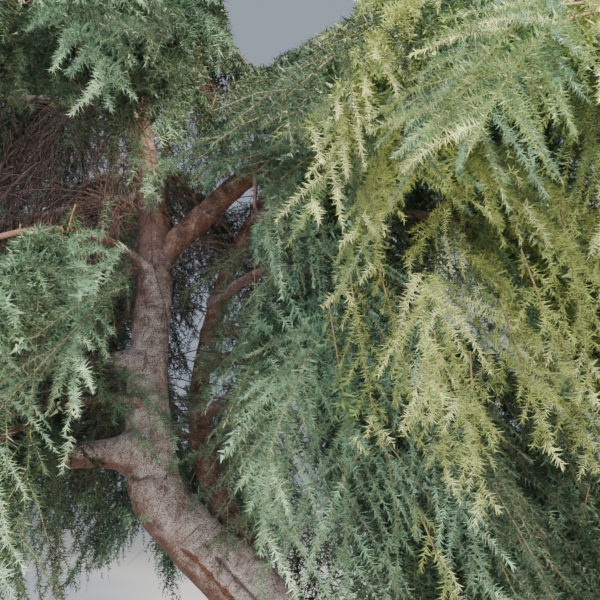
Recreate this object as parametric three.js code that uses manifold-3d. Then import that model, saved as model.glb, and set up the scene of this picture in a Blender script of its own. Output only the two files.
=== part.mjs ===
// A weeping cedar of the deodar kind: a trunk that leans out of the ground, sweeps upright and runs
// to the top, a rear stem and a right-hand limb, tapering boughs, and hanging masses of foliage.
// Millimetres, +Z up, origin at the centre of the flat cut under the trunk. Azimuth 0 is +X and 90 is +Y.
import * as THREE from "three";
import { mergeVertices } from "three/addons/utils/BufferGeometryUtils.js";
import Module from "manifold-3d";

const wasm = await Module();
wasm.setup();

// Driving dimensions
const joinGap = 0.3; // clear space between one solid and the next
const flare = { swell: 0.45, lobes: 5, lobeDepth: 0.16, height: 260 }; // root flare above the ground
const collar = { swell: 0.4, reach: 1.6 }; // swelling of a limb at its foot, in limb radii
const tipRadius = 6; // where a mass's stem ends
const twig = { girth: 9, tip: 6, stub: 40, count: 5, dead: 5, sag: 0.35 };
const spray = { length: 1050, width: 470, thick: 20, twist: 1.5 }; // a toothed blade stands for a branchlet
const space = { at: 0.6, drop: 250, margin: 4, clear: 3, lowest: 90 }; // where a mass's space lies
const shorter = [1, 0.86, 0.72, 0.6, 0.48]; // shares of its length that are tried where a twig does not fit
const goldenTurn = 137.5; // degrees from one bough to the next, going up a stem

// The three stems, each as [x, y, z, radius] at the places where its sweep or its taper changes
const stems = {
  trunk: {
    sides: 16,
    steps: 24,
    line: [
      [0, 0, 0, 158],
      [-130, 14, 430, 147],
      [-640, 12, 1015, 138],
      [-934, 0, 1281, 119],
      [-1108, 0, 1500, 114],
      [-1176, 6, 1960, 90],
      [-1188, 24, 2640, 82],
      [-1318, 40, 3250, 70],
      [-1492, 54, 4090, 57],
      [-1592, 40, 5350, 34],
      [-1640, 30, 6450, 11],
    ],
  },
  rear_stem: {
    foot: "trunk",
    sides: 12,
    steps: 16,
    line: [
      [-560, 20, 950, 84],
      [-790, 175, 1330, 62],
      [-950, 300, 1640, 52],
      [-985, 345, 2050, 48],
      [-830, 395, 2750, 44],
      [-430, 430, 3500, 37],
      [60, 440, 4300, 28],
      [400, 420, 5000, 18],
      [560, 400, 5550, 9],
    ],
  },
  right_limb: {
    foot: "trunk",
    sides: 12,
    steps: 9,
    line: [
      [-1186, 22, 2570, 64],
      [-948, 0, 2810, 60],
      [-760, -10, 3000, 55],
      [-350, -90, 3280, 45],
      [100, -220, 3480, 33],
      [470, -330, 3590, 22],
    ],
  },
};

// Boughs and the masses that they carry, listed by stem. A bough leaves its stem at a height, towards an
// azimuth, with a rise in degrees. It reaches out so far and falls so far by its tip. The first share of
// it is bare wood, which is the bough, and the rest is the stem of its mass.
const boughs = {
  trunk: [
    { name: "left_low", at: 1640, to: 197, rise: -2, reach: 1800, fall: -430, girth: 68, wood: 0.4 },
    { name: "left_mid", at: 2040, to: 182, rise: 4, reach: 1700, fall: -280, girth: 54, wood: 0.38 },
    { name: "left_back", at: 2920, to: 164, rise: 4, reach: 1700, fall: -300, girth: 36, wood: 0.38 },
    { name: "left_high", at: 3420, to: 190, rise: 10, reach: 1550, fall: -150, girth: 32, wood: 0.38 },
    { name: "front_left_low", at: 1850, to: 252, rise: 6, reach: 1150, fall: -430, girth: 28, wood: 0.3 },
    { name: "front_left", at: 2480, to: 246, rise: 20, reach: 1200, fall: -380, girth: 28, wood: 0.3 },
    { name: "front_high", at: 3330, to: 262, rise: 20, reach: 1150, fall: -200, girth: 26, wood: 0.3 },
    { name: "front_top", at: 3780, to: 286, rise: 18, reach: 950, fall: -260, girth: 24, wood: 0.25 },
    { name: "back_low", at: 2200, to: 98, rise: 4, reach: 2300, fall: -800, girth: 44, wood: 0.34 },
    { name: "back_left", at: 2560, to: 134, rise: 8, reach: 2000, fall: -600, girth: 36, wood: 0.34 },
    { name: "back_high", at: 3200, to: 112, rise: 10, reach: 1700, fall: -400, girth: 30, wood: 0 },
  ],
  rear_stem: [
    { name: "middle_low", at: 1860, to: 322, rise: 4, reach: 1700, fall: -650, girth: 34, wood: 0.42 },
    { name: "middle_high", at: 2440, to: 300, rise: 14, reach: 1500, fall: -450, girth: 34, wood: 0.38 },
    { name: "right_low", at: 2120, to: 350, rise: 6, reach: 2200, fall: -900, girth: 38, wood: 0.35 },
    { name: "right_mid", at: 2960, to: 354, rise: 12, reach: 2500, fall: -900, girth: 38, wood: 0.38 },
    { name: "back_right", at: 2300, to: 40, rise: 6, reach: 2300, fall: -850, girth: 38, wood: 0.34 },
    { name: "back_middle", at: 3120, to: 80, rise: 12, reach: 1900, fall: -500, girth: 30, wood: 0 },
  ],
  right_limb: [
    { name: "limb_front", at: 3060, to: 274, rise: 6, reach: 1000, fall: -700, girth: 28, wood: 0.25 },
    { name: "limb_middle", at: 3320, to: 276, rise: 8, reach: 1100, fall: -800, girth: 26, wood: 0.25 },
    { name: "limb_outer", at: 3520, to: 276, rise: 8, reach: 1300, fall: -900, girth: 24, wood: 0.22 },
    { name: "limb_back", at: 3400, to: 70, rise: 24, reach: 1100, fall: 60, girth: 22, wood: 0 },
  ],
};

// Rings of masses that sit straight on a stem, going up it, inside a sector of azimuth that has a start and
// a width. Reach and rise are given for the lowest and the highest mass. The gap is the azimuth at which
// the sky shows between the two summits, and masses are shorter on that side.
const rings = [
  {
    name: "crown",
    on: "trunk",
    count: 8,
    heights: [3900, 6120],
    sector: [150, 360],
    reach: [1350, 560],
    rise: [12, 34],
    gap: 0,
  },
  {
    name: "summit",
    on: "rear_stem",
    count: 6,
    heights: [3520, 5120],
    sector: [-60, 200],
    reach: [1350, 560],
    rise: [10, 30],
    gap: 180,
  },
];
const ringGirth = [26, 13]; // at the lowest and the highest mass of a ring
const ringFall = -0.1; // share of its reach that such a mass falls by its tip
const gapReach = 0.5; // share of its reach that a mass keeps where it points at the gap

// Masses that go on from the tip of a stem, and a mass of dead twigs that hang inside the crown
const tips = [
  { name: "crown_tip", on: "trunk", to: 160, reach: 170, fall: 330, spread: 330 },
  { name: "summit_tip", on: "rear_stem", to: 20, reach: 240, fall: 300, spread: 380 },
  { name: "limb_tip", on: "right_limb", to: 322, reach: 1300, fall: -850, spread: 520 },
];
const deadTwigs = {
  name: "dead_twigs",
  on: "trunk",
  at: 2800,
  to: 222,
  rise: 6,
  reach: 620,
  fall: -60,
  girth: 16,
  wood: 0,
  bare: true,
};

// Colours and surfaces

const wood = new THREE.MeshStandardMaterial({ color: 0x7c6a60, roughness: 0.9, metalness: 0 });
const deadWood = new THREE.MeshStandardMaterial({ color: 0x6b5346, roughness: 0.95, metalness: 0 });
const needles = new THREE.MeshStandardMaterial({ color: 0x5a7350, roughness: 0.8, metalness: 0 });
const sunNeedles = new THREE.MeshStandardMaterial({ color: 0x8a9a4a, roughness: 0.8, metalness: 0 });
const sunlit = ["middle_high", "right_low", "right_mid", "limb_middle", "limb_outer", "limb_tip"]; // masses

const { lerp, degToRad, euclideanModulo } = THREE.MathUtils;
const up = new THREE.Vector3(0, 0, 1);

// A repeatable row of numbers from 0 to 1.
function seeded(seed) {
  let state = seed >>> 0;
  return () => {
    state = (Math.imul(state, 1664525) + 1013904223) >>> 0;
    return state / 4294967296;
  };
}

function heading(azimuth) {
  const turn = degToRad(azimuth);
  return new THREE.Vector3(Math.cos(turn), Math.sin(turn), 0);
}

// A closed mesh as a solid that can be cut and joined.
function solidOf(geometry) {
  const bare = new THREE.BufferGeometry().setAttribute("position", geometry.getAttribute("position"));
  bare.setIndex(geometry.index);
  const merged = mergeVertices(bare, 1e-3);
  return new wasm.Manifold(
    new wasm.Mesh({
      numProp: 3,
      vertProperties: merged.attributes.position.array,
      triVerts: new Uint32Array(merged.index.array),
    }),
  );
}

// The largest body of a solid, without the scraps that a cut leaves and with any sealed hollow filled.
function mainBody(solid) {
  const bodies = solid.decompose();
  return bodies.reduce((best, body) => (body.volume() > best.volume() ? body : best));
}

function geometryOf(solid) {
  const mesh = solid.getMesh();
  const places = new Float32Array(mesh.numVert * 3);
  for (let i = 0; i < mesh.numVert; i++) {
    places.set(mesh.vertProperties.subarray(i * mesh.numProp, i * mesh.numProp + 3), i * 3);
  }
  const geometry = new THREE.BufferGeometry();
  geometry.setAttribute("position", new THREE.BufferAttribute(places, 3));
  geometry.setIndex(new THREE.BufferAttribute(mesh.triVerts, 1));
  geometry.computeVertexNormals();
  return geometry;
}

// A round bar bent along a curve, with its radius worked out at each share of the length and each turn.
// A bar that stands on the ground has its first ring laid flat there.
function barAlong(curve, radiusAt, sides, steps, grounded = false) {
  const bar = new THREE.CylinderGeometry(1, 1, 1, sides, steps);
  const frames = curve.computeFrenetFrames(steps, false);
  const places = bar.getAttribute("position");
  const place = new THREE.Vector3();
  for (let i = 0; i < places.count; i++) {
    place.fromBufferAttribute(places, i);
    const step = Math.round((place.y + 0.5) * steps);
    const radius = radiusAt(step / steps, Math.atan2(place.z, place.x));
    const { x, z } = place;
    place.copy(curve.getPointAt(step / steps));
    place.addScaledVector(frames.normals[step], x * radius);
    place.addScaledVector(frames.binormals[step], -z * radius);
    if (grounded && step === 0) place.z = 0;
    places.setXYZ(i, place.x, place.y, place.z);
  }
  return bar;
}

// Part of a longer curve, as a curve of its own.
class Stretch extends THREE.Curve {
  constructor(whole, from, to) {
    super();
    Object.assign(this, { whole, from, to });
  }
  getPoint(share) {
    return this.whole.getPointAt(lerp(this.from, this.to, share));
  }
}

// Stems

function stemCurve(stem) {
  const points = stem.line.map(([x, y, z]) => new THREE.Vector3(x, y, z));
  return new THREE.CatmullRomCurve3(points, false, "catmullrom", 0.5);
}

function stemRadius(stem, curve, share) {
  const along = curve.getUtoTmapping(share) * (stem.line.length - 1);
  const before = Math.min(Math.floor(along), stem.line.length - 2);
  return lerp(stem.line[before][3], stem.line[before + 1][3], along - before);
}

// The swelling and the buttress lobes of the root flare, which fade with height.
function flareAt(height, turn) {
  const fade = Math.exp(-height / flare.height);
  return 1 + fade * (flare.swell + flare.lobeDepth * Math.cos(flare.lobes * turn + 0.6));
}

function stemSolid(name, extra = 0) {
  const stem = stems[name];
  const curve = stem.curve;
  const radiusAt = (share, turn) => {
    const base = stemRadius(stem, curve, share);
    const height = curve.getPointAt(share).z;
    return base * (stem.foot ? 1 : flareAt(height, turn)) + extra;
  };
  return solidOf(barAlong(curve, radiusAt, stem.sides, stem.steps, !stem.foot));
}

function pointAtHeight(curve, height) {
  let low = 0;
  let high = 1;
  for (let i = 0; i < 40; i++) {
    const middle = (low + high) / 2;
    if (curve.getPoint(middle).z < height) low = middle;
    else high = middle;
  }
  return curve.getPoint(low);
}

// Boughs

// One arch from the middle of the stem, or onwards from the stem's tip, to the tip of the bough's mass.
function boughCurve(bough) {
  const stem = stems[bough.on].curve;
  const foot = bough.fromTip ? stem.getPoint(1) : pointAtHeight(stem, bough.at);
  const out = heading(bough.to);
  const middle = foot.clone();
  if (bough.fromTip) {
    middle.addScaledVector(stem.getTangent(1), bough.reach / 2);
  } else {
    middle.addScaledVector(out, bough.reach / 2);
    middle.z += (bough.reach / 2) * Math.tan(degToRad(bough.rise));
  }
  const end = foot.clone().addScaledVector(out, bough.reach);
  end.z += bough.fall;
  return new THREE.QuadraticBezierCurve3(foot, middle, end);
}

// The taper of a bough and its mass's stem, with the collar at the foot.
function boughRadius(bough, share) {
  const taper = lerp(bough.girth, tipRadius, Math.pow(share, 0.8));
  const footLength = collar.reach * bough.girth;
  return taper * (1 + collar.swell * Math.exp((-share * bough.length) / footLength));
}

function boughSolid(bough) {
  const bare = new Stretch(bough.curve, 0, bough.wood);
  const radiusAt = (share) => boughRadius(bough, share * bough.wood);
  const sides = bough.girth > 40 ? 9 : 7;
  return solidOf(barAlong(bare, radiusAt, sides, 5));
}

// Masses of foliage

// A spray is a blade with two teeth on each side, thickest at one ridge point on each face. Half of its
// rim is given here, in shares of its length and its width.
const sprayRim = [
  [0.22, 0.4],
  [0.34, 0.24],
  [0.56, 0.5],
  [0.66, 0.26],
  [1, 0],
];
const sprayRidge = 0.45;

// A four-sided twig that widens into its spray at the tip, as one closed mesh.
function twigGeometry(root, along, twigLength, way, across, length) {
  const width = (spray.width * length) / spray.length;
  const face = new THREE.Vector3().crossVectors(way, across);
  const tip = root.clone().addScaledVector(along, twigLength);
  const place = (far, side, lift) =>
    tip
      .clone()
      .addScaledVector(way, far * length)
      .addScaledVector(across, side * width)
      .addScaledVector(face, lift);
  const rootFace = new THREE.Vector3().crossVectors(along, across).normalize();
  const rootAcross = new THREE.Vector3().crossVectors(rootFace, along);
  const ring = (centre, first, second, radius) =>
    [first, second].flatMap((axis) => [
      centre.clone().addScaledVector(axis, radius),
      centre.clone().addScaledVector(axis, -radius),
    ]);
  const [rootLeft, rootRight, rootTop, rootUnder] = [0, 1, 2, 3];
  const [tipLeft, tipRight, tipTop, tipUnder, ridgeTop, ridgeUnder] = [4, 5, 6, 7, 8, 9];
  const vertices = [
    ...ring(root, rootAcross, rootFace, twig.girth),
    ...ring(tip, across, face, twig.tip),
    place(sprayRidge, 0, spray.thick / 2),
    place(sprayRidge, 0, -spray.thick / 2),
    ...sprayRim.map(([far, side]) => place(far, side, 0)),
    ...sprayRim.slice(0, -1).map(([far, side]) => place(far, -side, 0)),
  ];
  const left = sprayRim.map((_, i) => 10 + i);
  const right = sprayRim.slice(0, -1).map((_, i) => 10 + sprayRim.length + i);
  const faces = [rootLeft, rootRight, rootTop, rootRight, rootLeft, rootUnder];
  const sides = [
    [rootLeft, rootTop, tipLeft, tipTop],
    [rootTop, rootRight, tipTop, tipRight],
    [rootRight, rootUnder, tipRight, tipUnder],
    [rootUnder, rootLeft, tipUnder, tipLeft],
  ];
  for (const [a, b, c, d] of sides) faces.push(a, b, c, b, d, c);
  const upperRim = [tipTop, tipLeft, ...left, ...right.reverse(), tipRight];
  const lowerRim = [tipUnder, ...upperRim.slice(1)];
  for (let i = 0; i < upperRim.length; i++) {
    const next = (i + 1) % upperRim.length;
    faces.push(ridgeTop, upperRim[next], upperRim[i], ridgeUnder, lowerRim[i], lowerRim[next]);
  }
  const geometry = new THREE.BufferGeometry().setFromPoints(vertices);
  geometry.setIndex(faces);
  return geometry;
}

// The way that a spray hangs: between the way its twig points, straight out and straight down.
function hangingWay(tangent, out, hang, random) {
  const way = tangent.clone().multiplyScalar(0.7);
  way.addScaledVector(out, 0.25 + 0.3 * (random() - 0.5));
  way.addScaledVector(up, -hang * (0.75 + 0.5 * random()));
  way.x += 0.35 * (random() - 0.5);
  way.y += 0.35 * (random() - 0.5);
  return way.normalize();
}

// The blade's broad face looks up and out of the crown, as shingles do, and is twisted a little.
function bladeAcross(way, out, random) {
  const facing = out.clone().multiplyScalar(0.7).addScaledVector(up, 0.5);
  const across = new THREE.Vector3().crossVectors(way, facing).normalize();
  return across.applyAxisAngle(way, spray.twist * (random() - 0.5));
}

function crosses(solid, other) {
  return !solid.intersect(other).isEmpty();
}

function touches(solid, others, clear) {
  return others.some((other) => solid.minGap(other, clear) < clear);
}

// A mass keeps to the space that lies nearer to its own middle than to any other mass's middle.
function inOwnSpace(mass, geometry) {
  const places = geometry.getAttribute("position");
  const place = new THREE.Vector3();
  for (let i = 0; i < places.count; i++) {
    place.fromBufferAttribute(places, i);
    if (place.z < space.lowest) return false;
    for (const other of mass.walls) {
      if (other.normal.dot(place) > other.offset - space.margin) return false;
    }
  }
  return true;
}

// The planes halfway between a mass's middle and each other middle.
function spaceWalls(mass, masses) {
  return masses
    .filter((other) => other !== mass)
    .map((other) => {
      const normal = other.middle.clone().sub(mass.middle);
      const between = other.middle.clone().add(mass.middle).multiplyScalar(0.5);
      normal.normalize();
      return { normal, offset: normal.dot(between) };
    });
}

// One twig with its spray, or a shorter one where the full length does not fit.
function addTwig(mass, share, hand, hang, random) {
  const tangent = mass.stem.getTangentAt(share);
  const root = mass.stem.getPointAt(share);
  const side = new THREE.Vector3().crossVectors(up, mass.out);
  for (const scale of shorter) {
    const along = tangent.clone().multiplyScalar(0.6);
    along.addScaledVector(side, hand * 0.85).addScaledVector(up, 0.1 - 0.3 * random()).normalize();
    const way = hangingWay(hand ? along : tangent, mass.out, hang, random);
    const across = bladeAcross(way, mass.out, random);
    const reach = hand ? mass.spread * (1.1 - 0.4 * share) * lerp(0.8, 1.1, random()) * scale : twig.stub;
    const length = spray.length * mass.size * scale;
    const geometry = twigGeometry(root, hand ? along : way, reach, way, across, length);
    if (!inOwnSpace(mass, geometry)) continue;
    const solid = solidOf(geometry);
    if (mass.twigs.some((other) => crosses(solid, other))) continue;
    if (touches(solid, mass.obstacles, space.clear)) continue;
    mass.twigs.push(solid);
    return;
  }
}

// A bare twig of the dead mass.
function addDeadTwig(mass, share, hand, random) {
  const along = mass.stem.getTangentAt(share).multiplyScalar(0.6);
  const side = new THREE.Vector3().crossVectors(up, mass.out);
  along.addScaledVector(side, hand * 0.85).addScaledVector(up, 0.3 * (random() - 0.5)).normalize();
  const root = mass.stem.getPointAt(share);
  const middle = root.clone().addScaledVector(along, mass.spread * 0.5);
  const end = root.clone().addScaledVector(along, mass.spread);
  end.z -= mass.spread * twig.sag;
  const curve = new THREE.QuadraticBezierCurve3(root, middle, end);
  const bar = barAlong(curve, (at) => lerp(twig.girth, twig.tip, at), 3, 2);
  if (!inOwnSpace(mass, bar)) return;
  const solid = solidOf(bar);
  if (!touches(solid, mass.obstacles, space.clear)) mass.twigs.push(solid);
}

function growMass(mass) {
  const random = seeded(mass.seed);
  const count = mass.bare ? twig.dead : twig.count;
  for (let i = 0; i < count; i++) {
    const share = (i + 0.6) / (count + 0.2);
    const hand = (i % 2) * 2 - 1;
    if (mass.bare) addDeadTwig(mass, share, hand, random);
    else addTwig(mass, share, hand, 0.75, random);
  }
  if (mass.bare) return;
  addTwig(mass, 0.985, 0, 0.5, random);
  addTwig(mass, 0.5, 0, 1.5, random);
}

// The whole tree

const group = new THREE.Group();

function addMesh(name, solid, material) {
  const mesh = new THREE.Mesh(geometryOf(solid), material);
  mesh.name = name;
  group.add(mesh);
}

// The masses of one ring, turned by the golden angle from each to the next.
function ringBoughs(ring) {
  return Array.from({ length: ring.count }, (_, i) => {
    const share = i / (ring.count - 1);
    const turn = ring.sector[0] + euclideanModulo(i * goldenTurn, ring.sector[1]);
    const towardsGap = Math.max(0, Math.cos(degToRad(turn - ring.gap)));
    const reach = lerp(...ring.reach, share) * lerp(1, gapReach, towardsGap);
    return {
      name: `${ring.name}_${i + 1}`,
      on: ring.on,
      at: lerp(...ring.heights, share),
      to: turn,
      rise: lerp(...ring.rise, share),
      reach,
      fall: ringFall * reach,
      girth: lerp(...ringGirth, share),
      wood: 0,
    };
  });
}

function tipBough(tip) {
  return { ...tip, girth: stems[tip.on].line.at(-1)[3], wood: 0, fromTip: true };
}

for (const name of Object.keys(stems)) stems[name].curve = stemCurve(stems[name]);
const wider = Object.fromEntries(Object.keys(stems).map((name) => [name, stemSolid(name, joinGap)]));
for (const [name, stem] of Object.entries(stems)) {
  stem.solid = stemSolid(name);
  if (stem.foot) stem.solid = mainBody(stem.solid.subtract(wider[stem.foot]));
  addMesh(name, stem.solid, wood);
}
const limbSolids = Object.values(stems).map((stem) => stem.solid);

const sideBoughs = Object.entries(boughs).flatMap(([on, rows]) => rows.map((row) => ({ on, ...row })));
const all = [...sideBoughs, ...rings.flatMap(ringBoughs), ...tips.map(tipBough), deadTwigs];
const masses = all.map((bough, i) => {
  bough.curve = boughCurve(bough);
  bough.length = bough.curve.getLength();
  if (bough.wood) {
    const solid = mainBody(boughSolid(bough).subtract(wider[bough.on]));
    addMesh(`bough_${bough.name}`, solid, wood);
    limbSolids.push(solid);
  }
  const start = bough.wood || bough.fromTip ? bough.wood + joinGap / bough.length : 0;
  const stem = new Stretch(bough.curve, start, 1);
  const middle = stem.getPointAt(space.at);
  middle.z -= space.drop;
  return {
    name: bough.bare ? bough.name : `foliage_${bough.name}`,
    seed: 101 * (i + 1),
    bough,
    start,
    stem,
    middle,
    out: heading(bough.to),
    spread: bough.spread ?? 330 + 0.16 * bough.reach,
    size: THREE.MathUtils.clamp(bough.reach / 1150, 0.75, 1),
    bare: bough.bare ?? false,
  };
});

for (const mass of masses) {
  const { bough, start } = mass;
  const radiusAt = (share) => boughRadius(bough, lerp(start, 1, share)) * (bough.fromTip ? 0.7 : 1);
  let solid = solidOf(barAlong(mass.stem, radiusAt, 4, 5));
  if (!bough.wood && !bough.fromTip) solid = mainBody(solid.subtract(wider[bough.on]));
  mass.stemSolid = solid;
}
for (const mass of masses) {
  const otherStems = masses.filter((other) => other !== mass).map((other) => other.stemSolid);
  mass.obstacles = [...limbSolids, ...otherStems];
  mass.walls = spaceWalls(mass, masses);
  mass.twigs = [];
  growMass(mass);
  const material = mass.bare ? deadWood : sunlit.includes(mass.bough.name) ? sunNeedles : needles;
  addMesh(mass.name, mainBody(wasm.Manifold.union([mass.stemSolid, ...mass.twigs])), material);
}

export default group;
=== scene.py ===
# A weeping cedar of the deodar kind, dressed on its CAD frame.
# Metres, +Z up, the cut under the trunk at the origin, +X to the right in the photograph.
import math
import bpy
import bmesh
import numpy as np
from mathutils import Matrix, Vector, noise


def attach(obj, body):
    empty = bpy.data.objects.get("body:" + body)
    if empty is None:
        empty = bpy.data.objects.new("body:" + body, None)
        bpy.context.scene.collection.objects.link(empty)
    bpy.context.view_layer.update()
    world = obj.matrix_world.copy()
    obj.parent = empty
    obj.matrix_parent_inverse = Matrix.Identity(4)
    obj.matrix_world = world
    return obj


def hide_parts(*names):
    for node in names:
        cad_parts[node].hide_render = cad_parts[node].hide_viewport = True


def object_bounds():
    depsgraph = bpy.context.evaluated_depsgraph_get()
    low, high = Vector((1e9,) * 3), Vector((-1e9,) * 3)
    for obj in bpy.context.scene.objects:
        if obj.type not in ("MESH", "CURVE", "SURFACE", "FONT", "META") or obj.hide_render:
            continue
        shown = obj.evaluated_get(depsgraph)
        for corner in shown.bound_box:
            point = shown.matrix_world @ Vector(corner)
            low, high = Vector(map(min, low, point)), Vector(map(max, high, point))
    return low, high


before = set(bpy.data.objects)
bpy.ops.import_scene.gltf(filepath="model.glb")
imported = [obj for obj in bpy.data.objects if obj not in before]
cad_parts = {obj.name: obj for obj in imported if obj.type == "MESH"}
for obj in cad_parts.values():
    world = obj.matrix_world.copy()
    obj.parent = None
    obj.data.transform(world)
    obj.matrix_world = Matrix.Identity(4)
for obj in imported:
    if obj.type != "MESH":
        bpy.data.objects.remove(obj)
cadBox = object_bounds()
print("frame loaded")


# Small helpers

def unit(v):
    return v / np.maximum(np.linalg.norm(v, axis=-1, keepdims=True), 1e-9)


up = np.array([0.0, 0.0, 1.0])


def heading(azimuth):
    turn = math.radians(azimuth)
    return np.array([math.cos(turn), math.sin(turn), 0.0])


def mix(a, b, share):
    return a + (b - a) * share


def arch(foot, bend, tip, t):
    # the curve from foot to tip that leans towards the bend
    return (1 - t) ** 2 * foot + 2 * t * (1 - t) * bend + t ** 2 * tip


def acrossOf(ways):
    # two directions across each of many ways
    first = unit(np.cross(ways, np.where(np.abs(ways[:, 2:3]) < 0.9, [[0.0, 0.0, 1.0]], [[1.0, 0.0, 0.0]])))
    return first, np.cross(ways, first)


def numbered(counts):
    # for every member of groups of these sizes: its group's number, and its own place in the group
    group = np.repeat(np.arange(len(counts)), counts)
    return group, np.arange(counts.sum()) - np.repeat(np.cumsum(counts) - counts, counts)


def linear(hexColour):
    # sRGB hex to the linear colour that the shader takes
    values = [int(hexColour[i:i + 2], 16) / 255 for i in (1, 3, 5)]
    return tuple(v / 12.92 if v <= 0.04045 else ((v + 0.055) / 1.055) ** 2.4 for v in values) + (1.0,)


def addNode(tree, kind, settings=(), links=()):
    # a setting is a socket, by name or number, or else a property of the node
    node = tree.nodes.new(kind)
    for name, value in dict(settings).items():
        if isinstance(name, int) or name in node.inputs:
            node.inputs[name].default_value = value
        else:
            setattr(node, name, value)
    for name, source in dict(links).items():
        tree.links.new(source, node.inputs[name])
    return node


def newMaterial(name, settings):
    # a material, its node tree and its surface shader with these settings
    material = bpy.data.materials.new(name)
    material.use_nodes = True
    shader = material.node_tree.nodes["Principled BSDF"]
    for setting, value in settings.items():
        shader.inputs[setting].default_value = value
    return material, material.node_tree, shader


def addObject(name, data):
    made = bpy.data.objects.new(name, data)
    bpy.context.scene.collection.objects.link(made)
    return made


class Path:
    # a line of points with a radius at each, read by its share of the length

    def __init__(self, points, radii):
        self.points = np.asarray(points, float)
        self.radii = np.asarray(radii, float)
        steps = np.linalg.norm(np.diff(self.points, axis=0), axis=1)
        self.along = np.concatenate([[0], np.cumsum(steps)])
        self.length = self.along[-1]

    def at(self, share):
        where = np.asarray(share, float) * self.length
        return np.stack([np.interp(where, self.along, self.points[:, i]) for i in range(3)], axis=-1)

    def tangent(self, share):
        share = np.asarray(share, float)
        return unit(self.at(np.minimum(share + 0.004, 1)) - self.at(np.maximum(share - 0.004, 0)))

    def radius(self, share):
        return np.interp(np.asarray(share, float) * self.length, self.along, self.radii)

    def shareAtHeight(self, height):
        return np.interp(height, self.points[:, 2], self.along) / self.length


# Camera, as the photographer stood: just inside the reach of the crown, looking a little up

photoCamera = {
    "place": (-0.464, -2.8, 1.5),
    "pitch": 17,            # degrees above level
    "fieldOfView": 53.13,   # degrees across the picture
    "sensor": 36,           # millimetres
    "farthest": 200,
}

pitch = math.radians(photoCamera["pitch"])
halfView = math.tan(math.radians(photoCamera["fieldOfView"] / 2))
viewer = np.array(photoCamera["place"])
viewAhead = np.array([0, math.cos(pitch), math.sin(pitch)])
viewAbove = np.array([0, -math.sin(pitch), math.cos(pitch)])

lens = bpy.data.cameras.new("photoCamera")
lens.sensor_width = photoCamera["sensor"]
lens.lens = photoCamera["sensor"] / 2 / halfView
lens.clip_end = photoCamera["farthest"]
camera = addObject("photoCamera", lens)
camera.location = photoCamera["place"]
camera.rotation_euler = (math.radians(90 + photoCamera["pitch"]), 0, 0)
bpy.context.scene.camera = camera


# The limbs' own sizes, in millimetres and degrees as the CAD source has them

stemRows = {
    "trunk": [
        (0, 0, 0, 158), (-130, 14, 430, 147), (-640, 12, 1015, 138), (-934, 0, 1281, 119),
        (-1108, 0, 1500, 114), (-1176, 6, 1960, 90), (-1188, 24, 2640, 82), (-1318, 40, 3250, 70),
        (-1492, 54, 4090, 57), (-1592, 40, 5350, 34), (-1640, 30, 6450, 11),
    ],
    "rear_stem": [
        (-560, 20, 950, 84), (-790, 175, 1330, 62), (-950, 300, 1640, 52), (-985, 345, 2050, 48),
        (-830, 395, 2750, 44), (-430, 430, 3500, 37), (60, 440, 4300, 28), (400, 420, 5000, 18),
        (560, 400, 5550, 9),
    ],
    "right_limb": [
        (-1186, 22, 2570, 64), (-948, 0, 2810, 60), (-760, -10, 3000, 55), (-350, -90, 3280, 45),
        (100, -220, 3480, 33), (470, -330, 3590, 22),
    ],
}

# name, height, azimuth, rise, reach, fall, girth, share that is bare wood
boughRows = {
    "trunk": [
        ("left_low", 1640, 197, -2, 1800, -430, 68, 0.4),
        ("left_mid", 2040, 182, 4, 1700, -280, 54, 0.38),
        ("left_back", 2920, 164, 4, 1700, -300, 36, 0.38),
        ("left_high", 3420, 190, 10, 1550, -150, 32, 0.38),
        ("front_left_low", 1850, 252, 6, 1150, -430, 28, 0.3),
        ("front_left", 2480, 246, 20, 1200, -380, 28, 0.3),
        ("front_high", 3330, 262, 20, 1150, -200, 26, 0.3),
        ("front_top", 3780, 286, 18, 950, -260, 24, 0.25),
        ("back_low", 2200, 98, 4, 2300, -800, 44, 0.34),
        ("back_left", 2560, 134, 8, 2000, -600, 36, 0.34),
        ("back_high", 3200, 112, 10, 1700, -400, 30, 0),
    ],
    "rear_stem": [
        ("middle_low", 1860, 322, 4, 1700, -650, 34, 0.42),
        ("middle_high", 2440, 300, 14, 1500, -450, 34, 0.38),
        ("right_low", 2120, 350, 6, 2200, -900, 38, 0.35),
        ("right_mid", 2960, 354, 12, 2500, -900, 38, 0.38),
        ("back_right", 2300, 40, 6, 2300, -850, 38, 0.34),
        ("back_middle", 3120, 80, 12, 1900, -500, 30, 0),
    ],
    "right_limb": [
        ("limb_front", 3060, 274, 6, 1000, -700, 28, 0.25),
        ("limb_middle", 3320, 276, 8, 1100, -800, 26, 0.25),
        ("limb_outer", 3520, 276, 8, 1300, -900, 24, 0.22),
        ("limb_back", 3400, 70, 24, 1100, 60, 22, 0),
    ],
}

# name, stem, count, heights, sector, reach, rise, azimuth of the gap between the summits
ringRows = [
    ("crown", "trunk", 8, (3900, 6120), (150, 360), (1350, 560), (12, 34), 0),
    ("summit", "rear_stem", 6, (3520, 5120), (-60, 200), (1350, 560), (10, 30), 180),
]

# name, stem, azimuth, reach, fall, spread
tipRows = [
    ("crown_tip", "trunk", 160, 170, 330, 330),
    ("summit_tip", "rear_stem", 20, 240, 300, 380),
    ("limb_tip", "right_limb", 322, 1300, -850, 520),
]


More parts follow.
